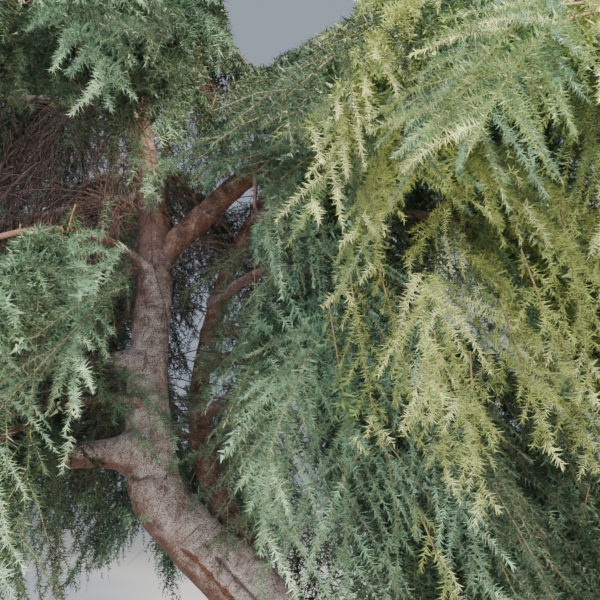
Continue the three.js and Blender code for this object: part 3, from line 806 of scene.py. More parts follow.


# sprays that the photograph shows in front of the rest: mass, root, bend, tip and half width, all in
# centimetres, and the number of a tint, with its painted light or shade, where it isn't dealt
crossing = [
    ("front_left", (-142, -42, 202), (-116, -44, 198), (-93, -46, 166), 13),
    ("front_left", (-140, -50, 198), (-122, -52, 190), (-97, -55, 156), 10),
    ("front_left", (-146, -40, 230), (-130, -42, 210), (-120, -45, 172), 14),
    ("front_top", (-124, -45, 305), (-112, -50, 286), (-108, -55, 258), 14),
    ("front_top", (-110, -50, 345), (-118, -55, 325), (-124, -60, 286), 16),
    ("front_top", (-100, -50, 340), (-98, -58, 320), (-104, -66, 284), 16),
    ("front_top", (-130, -45, 340), (-136, -50, 320), (-140, -55, 284), 16),
    ("limb_front", (-74, -50, 298), (-92, -52, 294), (-112, -56, 266), 13),
    ("limb_front", (-34, -60, 253), (-61, -62, 248), (-91, -64, 216), 13),
    ("limb_front", (-31, -66, 235), (-50, -70, 230), (-77, -72, 197), 12),
    ("front_top", (-110, -45, 342), (-114, -50, 324), (-115, -55, 298), 13),
    ("front_top", (-122, -45, 350), (-120, -50, 330), (-119, -55, 301), 12),
    ("front_high", (-121, -35, 374), (-120, -45, 339), (-122, -50, 302), 16),
    ("front_high", (-107, -35, 371), (-108, -45, 333), (-111, -50, 299), 16),
    ("front_high", (-133, -35, 368), (-131, -45, 333), (-132, -50, 296), 15),
    ("front_high", (-96, -30, 357), (-98, -40, 326), (-102, -50, 293), 14),
    ("front_high", (-117, -40, 349), (-119, -50, 324), (-124, -55, 302), 15),
    ("middle_high", (-27, -112, 163), (-34, -122, 151), (-57, -130, 128), 13),
    ("middle_high", (-26, -108, 166), (-34, -116, 158), (-50, -122, 142), 11),
    ("middle_high", (-25, -110, 161), (-31, -118, 151), (-37, -124, 133), 11),
    ("middle_high", (-24, -110, 161), (-21, -120, 151), (-24, -128, 125), 12),
    ("middle_high", (-25, -110, 164), (-13, -118, 148), (-1, -126, 124), 13),
    ("middle_high", (-22, -110, 172), (-9, -116, 161), (-1, -122, 139), 12),
    ("limb_front", (-58, -95, 197), (-61, -105, 176), (-64, -110, 154), 12),
    ("limb_front", (-59, -95, 207), (-68, -105, 182), (-66, -105, 130), 13),
    ("middle_high", (-46, -105, 167), (-53, -112, 151), (-60, -116, 135), 12),
    ("front_left", (-139, -55, 260), (-141, -60, 238), (-139, -65, 204), 13),
    ("front_left", (-143, -50, 260), (-132, -55, 236), (-123, -60, 205), 12),
    ("front_left", (-158, -60, 249), (-155, -65, 228), (-151, -70, 199), 12),
    ("front_left", (-143, -45, 172), (-130, -42, 166), (-118, -40, 147), 8),
    ("left_low", (-142, -35, 148), (-125, -32, 141), (-109, -30, 136), 7),
    ("middle_low", (-79, 25, 245), (-90, 20, 220), (-103, 15, 188), 13),
    ("middle_low", (-75, 20, 217), (-89, 16, 199), (-104, 12, 176), 12),
    ("middle_low", (-82, 30, 274), (-86, 26, 244), (-90, 22, 204), 12),
    ("middle_high", (-68, 0, 176), (-84, -5, 167), (-104, -10, 156), 8),
    ("middle_high", (-66, 0, 163), (-79, -5, 151), (-93, -10, 142), 8),
    ("middle_high", (-61, -10, 144), (-73, -15, 134), (-84, -20, 125), 7),
    ("limb_middle", (-20, -130, 255), (-25, -135, 228), (-28, -140, 200), 11, 3),
    ("limb_middle", (-32, -115, 210), (-30, -120, 185), (-26, -125, 159), 10, 3),
    ("limb_middle", (-24, -120, 208), (-20, -130, 183), (-19, -135, 160), 11, 3),
    ("limb_front", (-38, -110, 202), (-35, -115, 177), (-33, -120, 161), 9, 2),
    ("limb_outer", (-14, -140, 185), (-15, -145, 168), (-16, -150, 151), 10, 3),
    ("limb_outer", (-6, -140, 180), (-8, -145, 161), (-9, -150, 144), 8, 3),
    ("limb_outer", (9, -140, 206), (11, -145, 189), (11, -150, 174), 10, 3),
    ("limb_outer", (25, -130, 225), (22, -140, 193), (19, -145, 168), 12, 3),
    ("limb_outer", (6, -130, 196), (9, -135, 174), (10, -140, 157), 12, 3),
    ("limb_tip", (29, -110, 193), (30, -115, 172), (29, -120, 153), 12, 3),
    ("middle_high", (-18, -120, 147), (-14, -125, 135), (-11, -130, 124), 8, 3),
    ("back_low", (-66, 50, 142), (-59, 50, 118), (-54, 50, 86), 16, 0),
    ("back_low", (-46, 60, 147), (-40, 60, 117), (-37, 60, 83), 16, 0),
    ("back_low", (-31, 45, 142), (-24, 45, 113), (-21, 45, 86), 15, 0),
    ("back_low", (-55, 80, 157), (-49, 80, 120), (-46, 80, 82), 17, 0),
    ("back_low", (-18, 70, 152), (-11, 70, 116), (-7, 70, 82), 16, 0),
    ("front_high", (-100, -30, 334), (-104, -35, 311), (-109, -40, 287), 12, 0),
    ("front_high", (-134, -30, 331), (-132, -35, 311), (-132, -40, 289), 10, 0),
    ("front_top", (-89, -20, 338), (-93, -25, 314), (-98, -30, 287), 13, 0),
    ("front_top", (-80, -15, 333), (-83, -20, 306), (-91, -25, 282), 12, 0),
    ("back_low", (-73, 60, 121), (-66, 60, 100), (-63, 60, 74), 20, 0),
    ("back_low", (-53, 55, 132), (-46, 55, 108), (-43, 55, 75), 22, 0),
    ("back_low", (-35, 65, 131), (-30, 65, 104), (-27, 65, 73), 22, 0),
    ("back_low", (-20, 55, 132), (-17, 55, 108), (-16, 55, 75), 22, 0),
    ("back_low", (-43, 90, 152), (-37, 90, 119), (-34, 90, 80), 24, 0),
    ("back_low", (-62, 95, 152), (-58, 95, 119), (-54, 95, 82), 24, 0),
    ("limb_front", (-21, -130, 281), (-29, -140, 253), (-35, -145, 227), 13, 3),
    ("limb_front", (-17, -135, 256), (-25, -140, 234), (-33, -145, 207), 13, 3),
    ("limb_front", (-24, -125, 237), (-31, -130, 216), (-37, -135, 194), 11, 2),
    ("limb_middle", (-5, -130, 289), (-15, -140, 263), (-22, -145, 239), 13, 3),
    ("limb_front", (-25, -120, 298), (-32, -130, 272), (-39, -135, 249), 12, 3),
    ("limb_outer", (13, -110, 312), (14, -115, 295), (17, -120, 274), 12, 1),
    ("limb_outer", (23, -110, 310), (24, -120, 286), (26, -125, 263), 13, 1),
    ("limb_outer", (44, -110, 310), (42, -120, 284), (41, -125, 260), 13, 1),
    ("limb_outer", (24, -115, 264), (17, -120, 246), (14, -125, 226), 11, 2),
    ("limb_outer", (13, -100, 250), (-2, -110, 231), (-15, -115, 212), 10, 3),
    ("limb_outer", (2, -90, 243), (6, -100, 222), (11, -105, 203), 12, 2),
    ("limb_outer", (16, -90, 228), (18, -100, 207), (20, -105, 189), 13, 3),
    ("limb_outer", (7, -95, 218), (8, -105, 194), (8, -110, 176), 13, 2),
    ("limb_tip", (19, -95, 207), (24, -100, 189), (26, -105, 173), 13, 3),
    ("limb_tip", (29, -90, 193), (31, -100, 176), (33, -105, 161), 12, 3),
    ("limb_outer", (20, -75, 256), (21, -85, 232), (21, -90, 211), 12, 2),
    ("limb_front", (-5, -145, 285), (-19, -150, 270), (-33, -155, 251), 9, 3),
    ("limb_front", (-10, -140, 289), (-24, -147, 267), (-37, -152, 243), 10, 3),
    ("limb_front", (-16, -138, 278), (-27, -145, 255), (-39, -150, 231), 10, 3),
    ("limb_front", (-21, -135, 295), (-31, -145, 275), (-39, -150, 260), 8, 2),
    ("right_low", (65, -55, 166), (45, -65, 155), (29, -70, 132), 12, 1),
    ("right_low", (56, -60, 152), (47, -65, 135), (37, -70, 117), 12, 1),
    ("right_low", (37, -50, 164), (21, -60, 155), (8, -65, 134), 11, 1),
    ("front_left_low", (-147, -80, 155), (-132, -88, 137), (-126, -92, 117), 12, 1),
    ("front_left_low", (-131, -68, 155), (-124, -75, 139), (-121, -80, 118), 11, 0),
    ("left_low", (-126, -40, 155), (-121, -42, 140), (-120, -45, 126), 9, 0),
    ("limb_front", (-11, -145, 289), (-21, -152, 267), (-31, -156, 248), 9, 3),
]


def growSprays():
    rng = np.random.default_rng(growth["seed"])
    names = [bough["name"] for bough in boughs]
    sprays = []
    for name, root, bend, tip, halfWidth, *tint in crossing:
        root, bend, tip = np.array([root, bend, tip]) / 100
        across = unit(np.cross(tip - root, (0.0, -1.0, 0.3)))
        sprays.append(dict(mass=names.index(name), root=root, control=bend, end=tip, across=across,
                           length=np.linalg.norm(tip - root), width=halfWidth / 100, tone=0.5,
                           crossing=True, tint=tint[0] if tint else dealt))
    for index, bough in enumerate(boughs):
        path = bough["path"]
        start = bough["wood"]
        middles = path.at(np.linspace(start, 1, 6)) - 0.3 * up
        sight = inSight(middles, 0.12)
        bough["seen"] = bool((sight & (middles[:, 1] < 0.35)).sum() >= 2)
        spacing = growth["seenSpacing" if bough["seen"] else "behindSpacing" if sight.any() else "spacing"]
        stemLength = path.length * (1 - start)
        count = max(9, int(stemLength / spacing * massValue("fuller", bough["name"])))
        side = np.cross((0.0, 0.0, 1.0), bough["out"])
        for i in range(count):
            part = (i + 0.6) / (count + 0.2)
            share = mix(start, 1, part)
            tangent = path.tangent(share)
            root = path.at(share)
            last = i > count - 3
            hangs = last or i % growth["hangEvery"] == 1
            hand = 0 if hangs else rng.choice([-1, 1])
            along = unit(0.6 * tangent + hand * 0.85 * side + up * (0.1 - 0.3 * rng.random()))
            reach = bough["spread"] / 1000 * (1.1 - 0.4 * part) * mix(0.35, 1.1, rng.random())
            if hangs:
                reach, along = 0.05, tangent
            lean = growth["lean"]["last" if last else "straight" if hangs else "aside"]
            way = 0.7 * along + bough["out"] * (0.25 + 0.3 * (rng.random() - 0.5))
            way = way + up * (-lean * (0.8 + 0.9 * rng.random()))
            way = unit(way + np.array([0.35, 0.35, 0]) * (rng.random(3) - 0.5))
            across = unit(np.cross(way, 0.7 * bough["out"] + 0.5 * up))
            turn = growth["twist"] * (rng.random() - 0.5)
            across = across * math.cos(turn) + np.cross(way, across) * math.sin(turn)
            length = growth["sprayLength"] * bough["size"] * mix(0.5, 1.0, rng.random())
            length *= massValue("longer", bough["name"])
            tip = root + along * reach
            sprays.append(dict(mass=index, root=root, control=tip + along * 0.12 * length,
                               end=tip + way * length, across=across, length=reach + length,
                               width=growth["sprayHalfWidth"] * mix(0.7, 1.0, length), tone=rng.random(),
                               crossing=False, tint=dealt))
    return sprays


sprays = growSprays()
field = {key: np.array([s[key] for s in sprays]) for key in sprays[0]}
print("sprays:", len(sprays), "masses in sight:", sum(b["seen"] for b in boughs))


def onSpray(index, t):
    # place and tangent on each spray's arch
    a, b, c = field["root"][index], field["control"][index], field["end"][index]
    t = t[:, None]
    return arch(a, b, c, t), unit(2 * (1 - t) * (b - a) + 2 * t * (c - b))


def tipsOf(shoots):
    tips = shoots["start"] + shoots["way"] * shoots["length"][:, None]
    tips[:, 2] -= shoots["sag"]
    return tips


def growShoots():
    # side shoots, and the spray's own axis in short lengths
    rng = np.random.default_rng(growth["seed"] + 1)
    counts = np.maximum(4, np.rint(field["length"] / growth["shootSpacing"])).astype(int)
    index, order = numbered(counts)
    low = np.where(field["crossing"][index], 0.0, 0.10)
    t = low + (0.99 - low) * (order + rng.random(len(order))) / counts[index]
    place, tangent = onSpray(index, t)
    hand = np.where(order % 2 == 0, 1.0, -1.0)
    across = field["across"][index]
    across = unit(across - tangent * np.sum(across * tangent, axis=1)[:, None])
    face = np.cross(tangent, across)
    way = 0.8 * tangent + (hand * mix(0.35, 0.8, rng.random(len(t))))[:, None] * across
    way += face * (0.6 * (rng.random(len(t)) - 0.5))[:, None]
    outline = np.interp(t, *growth["outline"])
    length = field["width"][index] * outline * mix(0.5, 1.15, rng.random(len(t)))
    side = dict(start=place, way=unit(way), length=np.maximum(length, growth["shortestShoot"]), spray=index,
                along=t)
    counts = np.rint(field["length"] / growth["axisSpacing"]).astype(int)
    index, order = numbered(counts)
    t = order / counts[index]
    place, _ = onSpray(index, t)
    onward, _ = onSpray(index, (order + 1) / counts[index])
    gap = onward - place
    keep = t > 0.12
    axis = dict(start=place[keep], way=unit(gap)[keep], length=np.linalg.norm(gap, axis=1)[keep],
                spray=index[keep], along=t[keep])
    shoots = {key: np.concatenate([side[key], axis[key]]) for key in side}
    shoots["isAxis"] = np.concatenate([np.zeros(len(side["length"]), bool), np.ones(keep.sum(), bool)])
    shoots["sag"] = growth["shootSag"] * shoots["length"] * ~shoots["isAxis"]
    ends = tipsOf(shoots)
    middle = (shoots["start"] + ends) / 2
    free = field["crossing"][shoots["spray"]]
    keep = ~(shutOut(shoots["start"], free) | shutOut(ends, free) | shutOut(middle, free))
    before = np.bincount(shoots["spray"], minlength=len(sprays))
    left = np.bincount(shoots["spray"][keep], minlength=len(sprays))
    field["whole"] = field["crossing"] | (left > growth["leastLeft"] * before)
    keep &= field["whole"][shoots["spray"]]
    return {key: value[keep] for key, value in shoots.items()}


shoots = growShoots()
print("shoots:", len(shoots["length"]), "total metres:", round(float(shoots["length"].sum())))


# Needles: slender, three-cornered, in their own outline. In front of the camera they are finer and closer,
# and elsewhere fewer and wider, so that the crown stays as full.

needle = {
    "front": {"cover": 2.25, "length": 0.039},
    "inner": {"cover": 1.8, "length": 0.044, "width": 0.0100},
    "far": {"cover": 1.28, "length": 0.056, "width": 0.0205},
    "fineness": 0.00155,   # width of a front needle for each metre that it stands from the camera
    "fullLength": 2.5,     # metres from the camera at which a front needle has its full length
    "shortest": 0.66,      # of that length, on the shoots nearest to the camera
    "reach": 5.0,          # metres from the camera that count as in front
    "frontLayers": 3.0,    # layers of shoots, one behind another, that are counted as in front
    "innerLayers": 5.0,
    "alwaysFront": 1.6,    # metres from the camera within which shoots in the picture are front ones,
    "alwaysInner": 2.4,    # and at least inner ones
    "fewest": 6,           # needles on a shoot
    "turn": 2.39996,       # radians round the shoot from one needle to the next
    "lean": (76, 40),      # degrees from the shoot, at its foot and at its tip
    "leanChance": 56,
    "taper": 0.62,         # of its length, for a needle at the shoot's tip
    "lengths": (0.55, 1.2),
}
# numbered from 0 in this order, from painted deep shade to painted sunlight, then pale tips on painted shade
# and on painted sun
tints = {
    "deepShadePaintedNeedles": "#3c523d",
    "blueShadePaintedNeedles": "#628468",
    "halfShadePaintedNeedles": "#6f8a53",
    "sunlitPaintedNeedles": "#93a45a",
    "youngTipsInPaintedShade": "#93b795",
    "youngTipsInPaintedSun": "#ccda94",
}

# painted sunlight: sprays where the sun reaches get lighter tints; right and up are metres to the right of
# the viewer and above for each metre ahead
sun = {
    "rightFrom": 0.02,           # to the right of this sprays stand in the sun, the more the farther
    "gain": 2.5,
    "upFrom": (0.06, 0.09),      # above this, and over this much
    "summits": (0.3, 4.6),       # on every side, this much a metre above this height
    "chance": 0.32,
    "steps": (-0.85, 0.03, 0.16),    # the sun at which blue, green and sunlit needles begin
    "tipRight": (-0.06, 0.02),   # tips left of these stay blue, or at most green
    "tipUp": 0.03,               # and those lower than this blue
    "cornerRight": (0.20, 0.28),     # the corner at the upper right hangs in the crown's shade
    "cornerTip": 0.08,
    "cornerUp": (0.53, 0.76),    # green above the first, blue above the second
    "cornerChance": 0.9,
}
# painted shade: darker tints for sprays behind other shoots from the camera, inside the crown, at its back
# and on its upper left
shade = {
    "hidden": (2.4, 8.9),        # layers in front between which a spray is a tint darker
    "deeper": (4.5, 4.6),        # from which it is darkest inside the crown, or two tints darker
    "open": 0.16,                # a sunlit spray with this share of its shoots in the open isn't darker
    "chance": 0.8,
    "leftOut": (-1.35, 2.4, 4),  # left of this x, below this height, only behind so many layers
    "inside": (-0.9, 0.2, 1.5),  # x, y and radius of the crown's inside
    "behind": (0.4, 0.35),       # beyond this y sprays are darkest, with this chance outside of it
    "upperLeft": (-0.5, 2.5, 4.4, 0.5),    # left of this x, between these heights, with this chance
}
# pale young shoots, partly a painted highlight
paler = {"from": 0.74, "tips": 0.5, "elsewhere": 0.07}    # share of a spray, and chances of a pale shoot
outOfSight = 99    # layers


def inPicture(points):
    # how far to the right and up of the viewer points stand, for each metre ahead
    ahead = np.maximum(points[:, 1] - viewer[1], 0.8)
    return (points[:, 0] - viewer[0]) / ahead, (points[:, 2] - viewer[2]) / ahead


def paintedSunlightTints(middle):
    # painted sunlight and shade: a tint by the side of the crown that a spray hangs on, lighter on the sunlit
    # side and the summits, darker elsewhere
    right, high = inPicture(middle)
    tipRight, tipHigh = inPicture(field["end"])
    upFrom, over = sun["upFrom"]
    perMetre, summits = sun["summits"]
    sunny = sun["gain"] * (right - sun["rightFrom"])
    sunny = np.where(sunny > 0, sunny * np.clip((high - upFrom) / over, 0, 1), sunny)
    sunny = np.maximum(sunny, perMetre * (middle[:, 2] - summits)) + sun["chance"] * (field["tone"] - 0.5)
    tint = np.searchsorted(sun["steps"], sunny)
    corner = (tipRight > sun["cornerTip"]) | (right > sun["cornerRight"][1])
    corner &= (right > sun["cornerRight"][0]) & (field["tone"] < sun["cornerChance"])
    limits = [
        ((tipRight < sun["tipRight"][0]) | (tipHigh < sun["tipUp"]), 1),
        (tipRight < sun["tipRight"][1], 2),
        (corner & (high > sun["cornerUp"][0]), 2),
        (corner & (high > sun["cornerUp"][1]), 1),
    ]
    for where, most in limits:
        tint = np.where(where, np.minimum(tint, most), tint)
    return tint


def dealTints(rng):
    # one tint for each spray, with painted sunlight on the sunlit side, painted shade inside the crown and
    # behind nearer shoots, and paler shoots at its tip
    middle = mix(field["root"], field["end"], 0.62)
    x, y, z = middle.T
    tone = field["tone"]
    tint = paintedSunlightTints(middle)
    # painted shade: the more layers of shoots between a spray and the camera, the darker its tint
    seen = layers < outOfSight
    shown = np.bincount(shoots["spray"][seen], minlength=len(sprays))
    hidden = np.bincount(shoots["spray"][seen], np.minimum(layers[seen], 9), len(sprays))
    hidden = np.where(shown > 3, hidden / np.maximum(shown, 1), 9)
    inTheOpen = np.bincount(shoots["spray"][layers < 1.2], minlength=len(sprays)) / np.maximum(shown, 1)
    leftX, lowZ, manyLayers = shade["leftOut"]
    within = (hidden > shade["hidden"][0]) & (hidden < shade["hidden"][1])
    within &= (x > leftX) | (z > lowZ) | (hidden > manyLayers)
    within &= (inTheOpen < shade["open"]) | (tint < 2)
    insideX, insideY, insideRadius = shade["inside"]
    inward = np.hypot(x - insideX, y - insideY) < insideRadius
    steps = np.where(hidden > shade["deeper"][1], 2, 1)
    tint = np.where(within & (tone < shade["chance"]), np.maximum(tint - steps, 0), tint)
    # painted shade: the darkest tint at the back and inside of the crown, and on its upper left
    behindY, behindChance = shade["behind"]
    deep = (y > behindY) & (tint < 3) & (inward | (tone < behindChance))
    leftX, lowZ, highZ, chance = shade["upperLeft"]
    deep |= (x < leftX) & (z > lowZ) & (z < highZ) & (tone < chance)
    tint = np.where(deep | (within & inward & (hidden > shade["deeper"][0])), 0, tint)
    tint = np.where(field["tint"] == dealt, tint, field["tint"])[shoots["spray"]]
    # pale young shoots near the tips, partly a painted highlight; mint on painted shade, pale on painted sun,
    # none on painted deep shade
    chance = np.where(shoots["along"] > paler["from"], paler["tips"], paler["elsewhere"])
    pale = (rng.random(len(tint)) < chance) & (tint > 0) & ~shoots["isAxis"]
    return np.where(pale, np.where(tint == 1, 4, 5), tint)


def needlesOn(length, cover, width):
    return np.maximum(needle["fewest"], np.rint(length * cover / width)).astype(int)


def stampNeedles(start, way, length, sag, width, counts, longest, rng):
    # the three corners of every needle, round shoots that bend down by their sag
    index, order = numbered(counts)
    share = (order + rng.random(len(order))) / counts[index]
    w = way[index] * length[index][:, None]
    w[:, 2] -= 2 * sag[index] * share
    w = unit(w)
    first, second = acrossOf(w)
    turn = order * needle["turn"] + rng.random(len(length))[index] * 6.28 + 0.5 * rng.random(len(order))
    out = first * np.cos(turn)[:, None] + second * np.sin(turn)[:, None]
    chance = needle["leanChance"] * (rng.random(len(order)) - 0.5)
    lean = np.radians(mix(*needle["lean"], share ** 1.7) + chance)
    direction = w * np.cos(lean)[:, None] + out * np.sin(lean)[:, None]
    size = longest[index] * mix(1.0, needle["taper"], share ** 2)
    size *= mix(*needle["lengths"], rng.random(len(order)))
    base = start[index] + way[index] * (share * length[index])[:, None]
    base[:, 2] -= sag[index] * share ** 2
    roll = rng.random(len(order)) * 6.28
    flat = unit(np.cross(direction, out + 1e-3))
    other = np.cross(direction, flat)
    across = flat * np.cos(roll)[:, None] + other * np.sin(roll)[:, None]
    half = across * (width[index] / 2)[:, None]
    corners = np.empty((len(order), 3, 3), np.float32)
    corners[:, 0] = base - half
    corners[:, 1] = base + half
    corners[:, 2] = base + direction * size[:, None]
    return corners


def joinedMesh(name, corners, faces, material):
    mesh = bpy.data.meshes.new(name)
    mesh.vertices.add(len(corners))
    mesh.vertices.foreach_set("co", corners.astype(np.float32).ravel())
    mesh.loops.add(faces.size)
    mesh.loops.foreach_set("vertex_index", faces.ravel())
    mesh.polygons.add(len(faces))
    mesh.polygons.foreach_set("loop_start", np.arange(0, faces.size, faces.shape[1]))
    mesh.update(calc_edges=True)
    mesh.materials.append(material)
    return addObject(name, mesh)


def mottled(tree, colour, waves, detail, roughness, low, high):
    # the colour, with a brightness that wanders between low and high
    place = addNode(tree, "ShaderNodeTexCoord").outputs["Object"]
    change = addNode(tree, "ShaderNodeTexNoise", {"Scale": waves, "Detail": detail, "Roughness": roughness},
                     {"Vector": place})
    settings = {"From Min": 0.3, "From Max": 0.7, "To Min": low, "To Max": high}
    tone = addNode(tree, "ShaderNodeMapRange", settings, {"Value": change.outputs["Fac"]})
    return addNode(tree, "ShaderNodeHueSaturation", {"Color": linear(colour)},
                   {"Value": tone.outputs["Result"]}).outputs["Color"]


def needleMaterial(name, colour):
    # living cedar needles: a thin wax over green, half dull, with a soft light from the sky on them;
    # growth differs from one shoot to the next, every 90 mm or so
    material, tree, shader = newMaterial(name, {"Roughness": 0.44, "IOR": 1.45, "Specular IOR Level": 0.5})
    mottle = mottled(tree, colour, waves=11.0, detail=5.0, roughness=0.6, low=0.40, high=1.68)
    tree.links.new(mottle, shader.inputs["Base Color"])
    return material


def chunks(total, most):
    parts = max(1, math.ceil(total / most))
    return [(i * total // parts, (i + 1) * total // parts) for i in range(parts)]


# the picture in cells, on which layers of shoots are counted
sightGrid = {
    "edge": 0.6,             # metres to each side for each metre ahead
    "cells": 33,
    "shootBreadth": 0.055,   # metres of a shoot with its needles
    "parts": (0.15, 0.5, 0.85),    # where along a shoot it is counted
}


def layersInFront():
    # how many layers of shoots stand between each shoot and the camera, and many where it is out of sight
    parts = np.array(sightGrid["parts"])[:, None, None]
    spots = shoots["start"] + shoots["way"] * shoots["length"][:, None] * parts - viewer
    depth = np.maximum(spots @ viewAhead, 0.1)
    across, height = spots[:, :, 0] / depth, spots @ viewAbove / depth
    edge, cells = sightGrid["edge"], sightGrid["cells"]
    inside = (depth[1] > 0.3) & (np.abs(across) < edge).all(axis=0) & (np.abs(height) < edge).all(axis=0)
    column, row = [((place + edge) / (2 * edge) * cells).astype(int) for place in (across, height)]
    cell = np.where(inside, column * cells + row, 0)
    cover = sightGrid["shootBreadth"] * shoots["length"] / 3 / depth[1] ** 2 / (2 * edge / cells) ** 2
    layers = np.full(len(cover), float(outOfSight))
    stack = np.zeros(cells * cells)
    for i in np.argsort(depth[1]):
        if inside[i]:
            layers[i] = stack[cell[:, i]].min()
            stack[cell[:, i]] += cover[i]
    return layers


away = np.linalg.norm(shoots["start"] - viewer, axis=1)
layers = layersInFront()
shown = layers < outOfSight
inner = (layers < needle["innerLayers"]) | (shown & (away < needle["alwaysInner"]))
front = (layers < needle["frontLayers"]) & (away < needle["reach"])
shootGrade = np.where(front | (shown & (away < needle["alwaysFront"])), 0, np.where(inner, 1, 2))
mostTriangles = 185000    # in one piece of needles

needleRng = np.random.default_rng(growth["seed"] + 2)
shootTint = dealTints(needleRng)
needleCount = 0
for tintIndex, tint in enumerate(tints):
    material = needleMaterial(tint, tints[tint])
    stamped, massOf = [], []
    for gradeIndex, gradeName in enumerate(("front", "inner", "far")):
        pick = np.flatnonzero((shootTint == tintIndex) & (shootGrade == gradeIndex))
        if len(pick) == 0:
            continue
        grade = needle[gradeName]
        width = np.full(len(pick), grade["width"]) if gradeIndex else needle["fineness"] * away[pick]
        counts = needlesOn(shoots["length"][pick], grade["cover"], width)
        longest = np.full(len(pick), grade["length"])
        if gradeIndex == 0:
            longest *= np.clip(away[pick] / needle["fullLength"], needle["shortest"], 1)
        stamped.append(stampNeedles(shoots["start"][pick], shoots["way"][pick], shoots["length"][pick],
                                    shoots["sag"][pick], width, counts, longest, needleRng))
        massOf.append(np.repeat(field["mass"][shoots["spray"][pick]], counts))
    stamped = np.concatenate(stamped)
    massOf = np.concatenate(massOf)
    order = np.argsort(massOf, kind="stable")
    stamped, massOf = stamped[order], massOf[order]
    needleCount += len(stamped)
    for part, (low, high) in enumerate(chunks(len(stamped), mostTriangles)):
        corners = stamped[low:high].reshape(-1, 3)
        faces = np.arange(len(corners)).reshape(-1, 3)
        piece = joinedMesh("%s_%d" % (tint, part + 1), corners, faces, material)
        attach(piece, "root")
        nodes = ["foliage_" + boughs[m]["name"] for m in np.unique(massOf[low:high])]
        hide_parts(*nodes)
print("needles:", needleCount)


# Twigs: thin three-sided prisms, tan where they are young

twigs = {
    "sprayRadius": 0.0042,
    "sprayTaper": 0.75,
    "shootRadius": 0.0014,
    "shootTaper": 0.72,
    "sprayParts": 7,
    "most": 30000,    # prisms in one piece
}


def prisms(starts, ends, startRadius, endRadius):
    # six corners and six triangles for each
    first, second = acrossOf(unit(ends - starts))
    corners = np.empty((len(starts), 6, 3), np.float32)
    for k in range(3):
        turn = k * 2 * math.pi / 3
        out = first * math.cos(turn) + second * math.sin(turn)
        corners[:, k] = starts + out * np.reshape(startRadius, (-1, 1))
        corners[:, k + 3] = ends + out * np.reshape(endRadius, (-1, 1))
    one = np.array([(0, 1, 4), (0, 4, 3), (1, 2, 5), (1, 5, 4), (2, 0, 3), (2, 3, 5)])
    faces = (one[None] + 6 * np.arange(len(starts))[:, None, None]).reshape(-1, 3)
    return corners.reshape(-1, 3), faces


def prismPieces(kind, corners, faces, material):
    for part, (low, high) in enumerate(chunks(len(faces) // 6, twigs["most"])):
        low, high = low * 6, high * 6
        yield joinedMesh("%s_%d" % (kind, part + 1), corners[low:high], faces[low:high] - low, material)


def twigMaterial(name, colour, rough):
    # young cedar twigs: a thin matt skin, tan where alive and grey-brown where dead
    material, tree, shader = newMaterial(name, {"Roughness": rough, "Specular IOR Level": 0.3})
    mottle = mottled(tree, colour, waves=28.0, detail=3.0, roughness=0.5, low=0.7, high=1.25)
    tree.links.new(mottle, shader.inputs["Base Color"])
    return material


def growTwigs():
    # the sprays' own axes, and the shoots that stand in front
    parts = twigs["sprayParts"]
    index = np.repeat(np.arange(len(sprays)), parts)
    order = np.tile(np.arange(parts), len(sprays))
    low, high = order / parts, (order + 1) / parts
    starts, _ = onSpray(index, low)
    ends, _ = onSpray(index, high)
    free = field["crossing"][index]
    keep = ~(shutOut(starts, free) | shutOut(ends, free)) & field["whole"][index]
    radii = [twigs["sprayRadius"] * (1 - twigs["sprayTaper"] * t[keep]) for t in (low, high)]
    axisMesh = prisms(starts[keep], ends[keep], *radii)
    side = ~shoots["isAxis"] & (shootGrade < 1)
    half = shoots["start"] + shoots["way"] * shoots["length"][:, None] / 2
    half[:, 2] -= shoots["sag"] / 4
    starts = np.concatenate([shoots["start"][side], half[side]])
    ends = np.concatenate([half[side], tipsOf(shoots)[side]])
    thick = twigs["shootRadius"] * np.repeat([1.0, 0.75], side.sum())
    return axisMesh, prisms(starts, ends, thick, thick * twigs["shootTaper"])


liveTwig = twigMaterial("youngTwigSkin", "#8c7a57", 0.8)
allMasses = ["foliage_" + b["name"] for b in boughs]
for kind, (corners, faces) in zip(("sprayTwigs", "shootTwigs"), growTwigs()):
    for piece in prismPieces(kind, corners, faces, liveTwig):
        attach(piece, "root")
        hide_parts(*allMasses)
print("twigs grown")


# Dead twigs: fans of bare twigs inside the crown, thickest on the upper left

dead = {
    "seed": 71,
    "onTangle": 80,          # long twigs on the dead mass's own stem
    "onLeft": 20,            # on each of the boughs that the tangle hangs from
    "leftBoughs": ("left_high", "left_back", "left_mid", "front_left"),
    "onBough": 4,            # on every other bough
    "onStems": {"trunk": (80, 1.6, 4.0), "rear_stem": (36, 1.3, 4.2), "right_limb": (26, 2.6, 3.5)},
    "hanging": 90,           # twigs that hang in the gap on the upper left, between these limits in metres
    "across": (-1.95, -1.20),
    "depth": (-0.13, 0.00),
    "height": (2.75, 3.50),
    "length": (0.35, 1.05),  # metres
    "radius": 0.0042,
    "parts": 6,
    "sag": 0.22,
    "sideTwigs": 7,
    "sideLength": (0.12, 0.4),
    "sideRadius": 0.45,      # of the long twig's
    "sideParts": 3,
    "sideSag": 0.25,
    "waver": 0.13,
    "showsFrom": -0.16,      # beyond this y a twig may stand in a window
}


def droop(roots, ways, lengths, radius, parts, sag, rng):
    # wavering lengths of twig that sink towards their tips
    starts, ends, thick = [], [], []
    place, way = roots, ways
    for part in range(parts):
        onward = place + way * (lengths / parts)[:, None]
        starts.append(place)
        ends.append(onward)
        thick.append(np.full(len(roots), radius) * (1 - 0.8 * part / parts))
        place = onward
        way = unit(way + rng.normal(size=way.shape) * dead["waver"] - sag * up)
    return np.array(starts), np.array(ends), np.array(thick)


